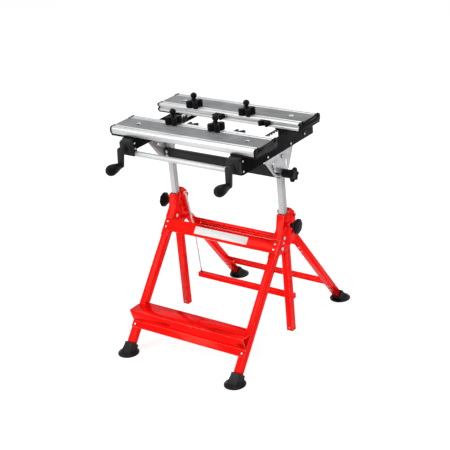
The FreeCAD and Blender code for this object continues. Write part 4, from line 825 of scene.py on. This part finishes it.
def make_hole_light_and_shade():
    for name, body in (("front_jaw", "front_clamp"), ("rear_jaw", "rear_clamp")):
        centre_y = box_centre(name)[0].y
        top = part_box(name)[1].z
        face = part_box(name + "_inlay")[1].z
        painted_light_liners = bmesh.new()
        painted_shade_rims = bmesh.new()
        for side in (-1, 1):
            hole = Vector((side * HOLE_SPACING / 2, centre_y, 0))
            for shape, level, profile in ((painted_light_liners, top - PAINTED_LIGHT_DROP, PAINTED_LIGHT_PROFILE),
                                          (painted_shade_rims, face, PAINTED_SHADE_RIM_PROFILE)):
                start = hole + Vector((0, 0, level))
                add_tube(shape, turned_rings(start, "z", -1, profile, HOLE_POINTS))
        # Dark rims of painted shade round the mouths of the holes.
        add_piece(name + "_hole_painted_shade_rims", finish_mesh(name + "_hole_painted_shade_rims", painted_shade_rims), body,
                  materials["black_plastic"])
        # Pale liners of painted light on the far walls of the holes.
        add_piece(name + "_hole_painted_light_liners", finish_mesh(name + "_hole_painted_light_liners", painted_light_liners), body,
                  materials["bore_painted_light_liner"])


# A small rivet at the foot of each lift sleeve: how high above its end, and its reach forward and
# radius.
SLEEVE_RIVET_RISE = 0.012
SLEEVE_RIVET_PROFILE = ((-0.0003, 0.0023), (0.0004, 0.0023), (0.0009, 0.0017), (0.0011, 0.0006))
SLEEVE_RIVET_POINTS = 24


def make_sleeve_rivets():
    low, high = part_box("sleeves")
    # a sleeve is square, so half its depth is half its width
    column_x = high.x - (high.y - low.y) / 2
    shape = bmesh.new()
    for side in (-1, 1):
        start = Vector((side * column_x, low.y, low.z + SLEEVE_RIVET_RISE))
        add_rings(shape, turned_rings(start, "y", -1, SLEEVE_RIVET_PROFILE, SLEEVE_RIVET_POINTS))
    add_piece("sleeve_rivets", finish_mesh("sleeve_rivets", shape), body_of["sleeves"],
              materials["galvanised"])


# Bare name plate on the front crossbar: its reach along x and up the bar, and its corners.
PLATE_X = (-0.110, 0.126)
PLATE_UP = (0.0095, 0.038)
PLATE_CORNER = 0.003
CORNER_STEPS = 6
# How far each ring of the plate lies off the bar, and how far inside the plate's outline.
PLATE_RINGS = ((-0.0002, 0), (0.0005, 0), (0.0008, 0.0004))
# The bar's front looks forward and up by at least this share. Faces whose normals have this product
# look the same way, and points this near lie in one plane.
FRONT_SHARE = 0.3
SAME_WAY = 0.9999
PLANE_REACH = 0.0001


def bar_front():
    """The lower edge of the crossbar's front at x = 0, the way up along it, and its normal."""
    mesh = nodes["front_crossbar"].data
    face = max((p for p in mesh.polygons if p.normal.y < -FRONT_SHARE and p.normal.z > FRONT_SHARE),
               key=lambda p: p.area)
    normal = face.normal.copy()
    points = [mesh.vertices[i].co for p in mesh.polygons if p.normal.dot(normal) > SAME_WAY
              for i in p.vertices]
    reach = max(p.dot(normal) for p in points)
    up = Vector((0, normal.z, -normal.y))
    foot = min(p.dot(up) for p in points if p.dot(normal) > reach - PLANE_REACH)
    return normal * reach + up * foot, up, normal


def make_plate():
    origin, up, normal = bar_front()
    right, top = PLATE_X[1] - PLATE_CORNER, PLATE_UP[1] - PLATE_CORNER
    left, bottom = PLATE_X[0] + PLATE_CORNER, PLATE_UP[0] + PLATE_CORNER
    rings = []
    for lift, inset in PLATE_RINGS:
        radius = PLATE_CORNER - inset
        ring = []
        for x, rise, start in ((right, top, 0), (left, top, 90),
                               (left, bottom, 180), (right, bottom, 270)):
            for step in range(CORNER_STEPS + 1):
                angle = math.radians(start + 90 * step / CORNER_STEPS)
                ring.append(origin + Vector((x + radius * math.cos(angle), 0, 0))
                            + up * (rise + radius * math.sin(angle)) + normal * lift)
        rings.append(ring)
    shape = bmesh.new()
    add_rings(shape, rings)
    add_piece("crossbar_name_plate", finish_mesh("crossbar_name_plate", shape), "base",
              materials["label"])


# Pressed and drawn pieces: outer radius of their folds and radius of their cut edges.
FOLDED = {
    "left_pylon": (0.0016, 0.0005), "right_pylon": (0.0016, 0.0005), "front_legs": (0.0014, 0.0004),
    "rear_legs": (0.0014, 0.0004), "front_crossbar": (0.0014, 0.0004), "shelf": (0.0016, 0.0005),
    "rear_upper_bar": (0.0014, 0.0004), "rear_lower_bar": (0.0014, 0.0004),
    "sleeves": (0.0014, 0.0003), "lift_tubes": (0.0009, 0.0003), "cross_beam": (0.002, 0.0004),
    "release_bar": (0.002, 0.0004),
}
# Solid pieces: one radius for all of their edges.
SOLID = {
    "left_pawl": 0.0008, "right_pawl": 0.0008, "tube_guides": 0.001, "tilt_plates": 0.0005,
    "front_jaw": 0.0006, "rear_jaw": 0.0006, "left_crank": 0.002, "right_crank": 0.002,
    "front_jaw_shoes": 0.0008, "rear_jaw_shoes": 0.0008, "end_blocks": 0.003,
    "front_left_vee_block": 0.0018, "front_right_vee_block": 0.0018,
    "rear_left_vee_block": 0.0018, "rear_right_vee_block": 0.0018, "frame_bolts": 0.0015,
    "lift_bolts": 0.0015, "table_bolts": 0.0009, "rear_leg_rivets": 0.0009,
    "left_spindle": 0.0012, "right_spindle": 0.0012, "front_tube": 0.0006,
    "front_jaw_inlay": 0.0003, "rear_jaw_inlay": 0.0003, "release_rods": 0.0005,
}
# The pins of the rear legs and of the pawls have painted heads: place in y and z, and reach.
PAINTED_PINS = ((0.046, 0.421), (0.0565, 0.484))
PIN_HEAD_REACH = 0.008


def make_skins():
    for name, (fold, edge) in FOLDED.items():
        skin(name, fold, edge)
    for name, edge in SOLID.items():
        skin(name, edge, edge, sheet=0)
    bolts = bpy.data.objects["frame_bolts_skin"].data
    bolts.materials.append(materials["red_paint"])
    for face in bolts.polygons:
        if any(math.hypot(face.center.y - y, face.center.z - z) < PIN_HEAD_REACH
               for y, z in PAINTED_PINS):
            face.material_index = 1


# The rails are open on the inner side between their ends, where a toothed strip carries the jaws.
RAIL_FOLD = 0.002
RAIL_EDGE = 0.0004
RAIL_WALL = 0.002
RAIL_END_FRONT = 0.115
RAIL_END_BACK = 0.016
RAIL_FLOOR_DROP = 0.040
# The strip laps the window's ends, and lies just under the rail's top and inside its inner face.
STRIP_LAP = 0.004
STRIP_DROP = 0.0003
STRIP_INSET = 0.0002
STRIP_HEIGHT = 0.0115
STRIP_SMOOTHING = 20
# Its teeth: height, pitch, and share of the pitch and of the height at each corner.
TOOTH_HEIGHT = 0.0055
TOOTH_PITCH = 0.0157
TOOTH_STEPS = ((0, 0), (0.45, 0), (0.55, 1), (0.85, 1))


def make_rails():
    strips = bmesh.new()
    for name, side in (("left_rail", -1), ("right_rail", 1)):
        low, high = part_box(name)
        inner, outer = sorted((low.x, high.x), key=abs)
        start = low.y + RAIL_END_FRONT
        finish = high.y - RAIL_END_BACK
        across = sorted((inner - side * RAIL_WALL, outer - side * RAIL_WALL))
        mesh = opened(name, (across[0], start, high.z - RAIL_FLOOR_DROP - RAIL_WALL),
                      (across[1], finish, high.z + RAIL_WALL))
        skin(name, RAIL_FOLD, RAIL_EDGE, source=mesh)
        bpy.data.meshes.remove(mesh)
        top = high.z - STRIP_DROP
        bottom = high.z - STRIP_HEIGHT
        place = start - STRIP_LAP
        ring = [(place, top)]
        while place < finish - TOOTH_PITCH:
            for along, rise in TOOTH_STEPS:
                ring.append((place + TOOTH_PITCH * along, bottom + TOOTH_HEIGHT * rise))
            place += TOOTH_PITCH
        ring += [(place, bottom), (finish + STRIP_LAP, bottom), (finish + STRIP_LAP, top)]
        faces = (inner + side * STRIP_INSET, inner + side * (RAIL_WALL + STRIP_INSET))
        add_rings(strips, [[Vector((x, y, z)) for y, z in ring] for x in faces])
    place_piece("toothed_strips", finish_mesh("toothed_strips", strips, STRIP_SMOOTHING), ["racks"])


def dress_nodes():
    """Gives every CAD node its material, also those that a piece stands for."""
    for name, node in nodes.items():
        if not node.material_slots:
            node.data.materials.append(material_for(name))
        for holder in node.material_slots:
            holder.material = material_for(name)


make_camera()
make_lamps()
make_world()
make_floor()
dress_nodes()
make_skins()
make_rails()
make_grips()
make_knobs()
make_feet()
make_dogs()
make_caps()
make_hole_light_and_shade()
make_sleeve_rivets()
make_plate()

bpy.context.scene.view_settings.view_transform = "Standard"
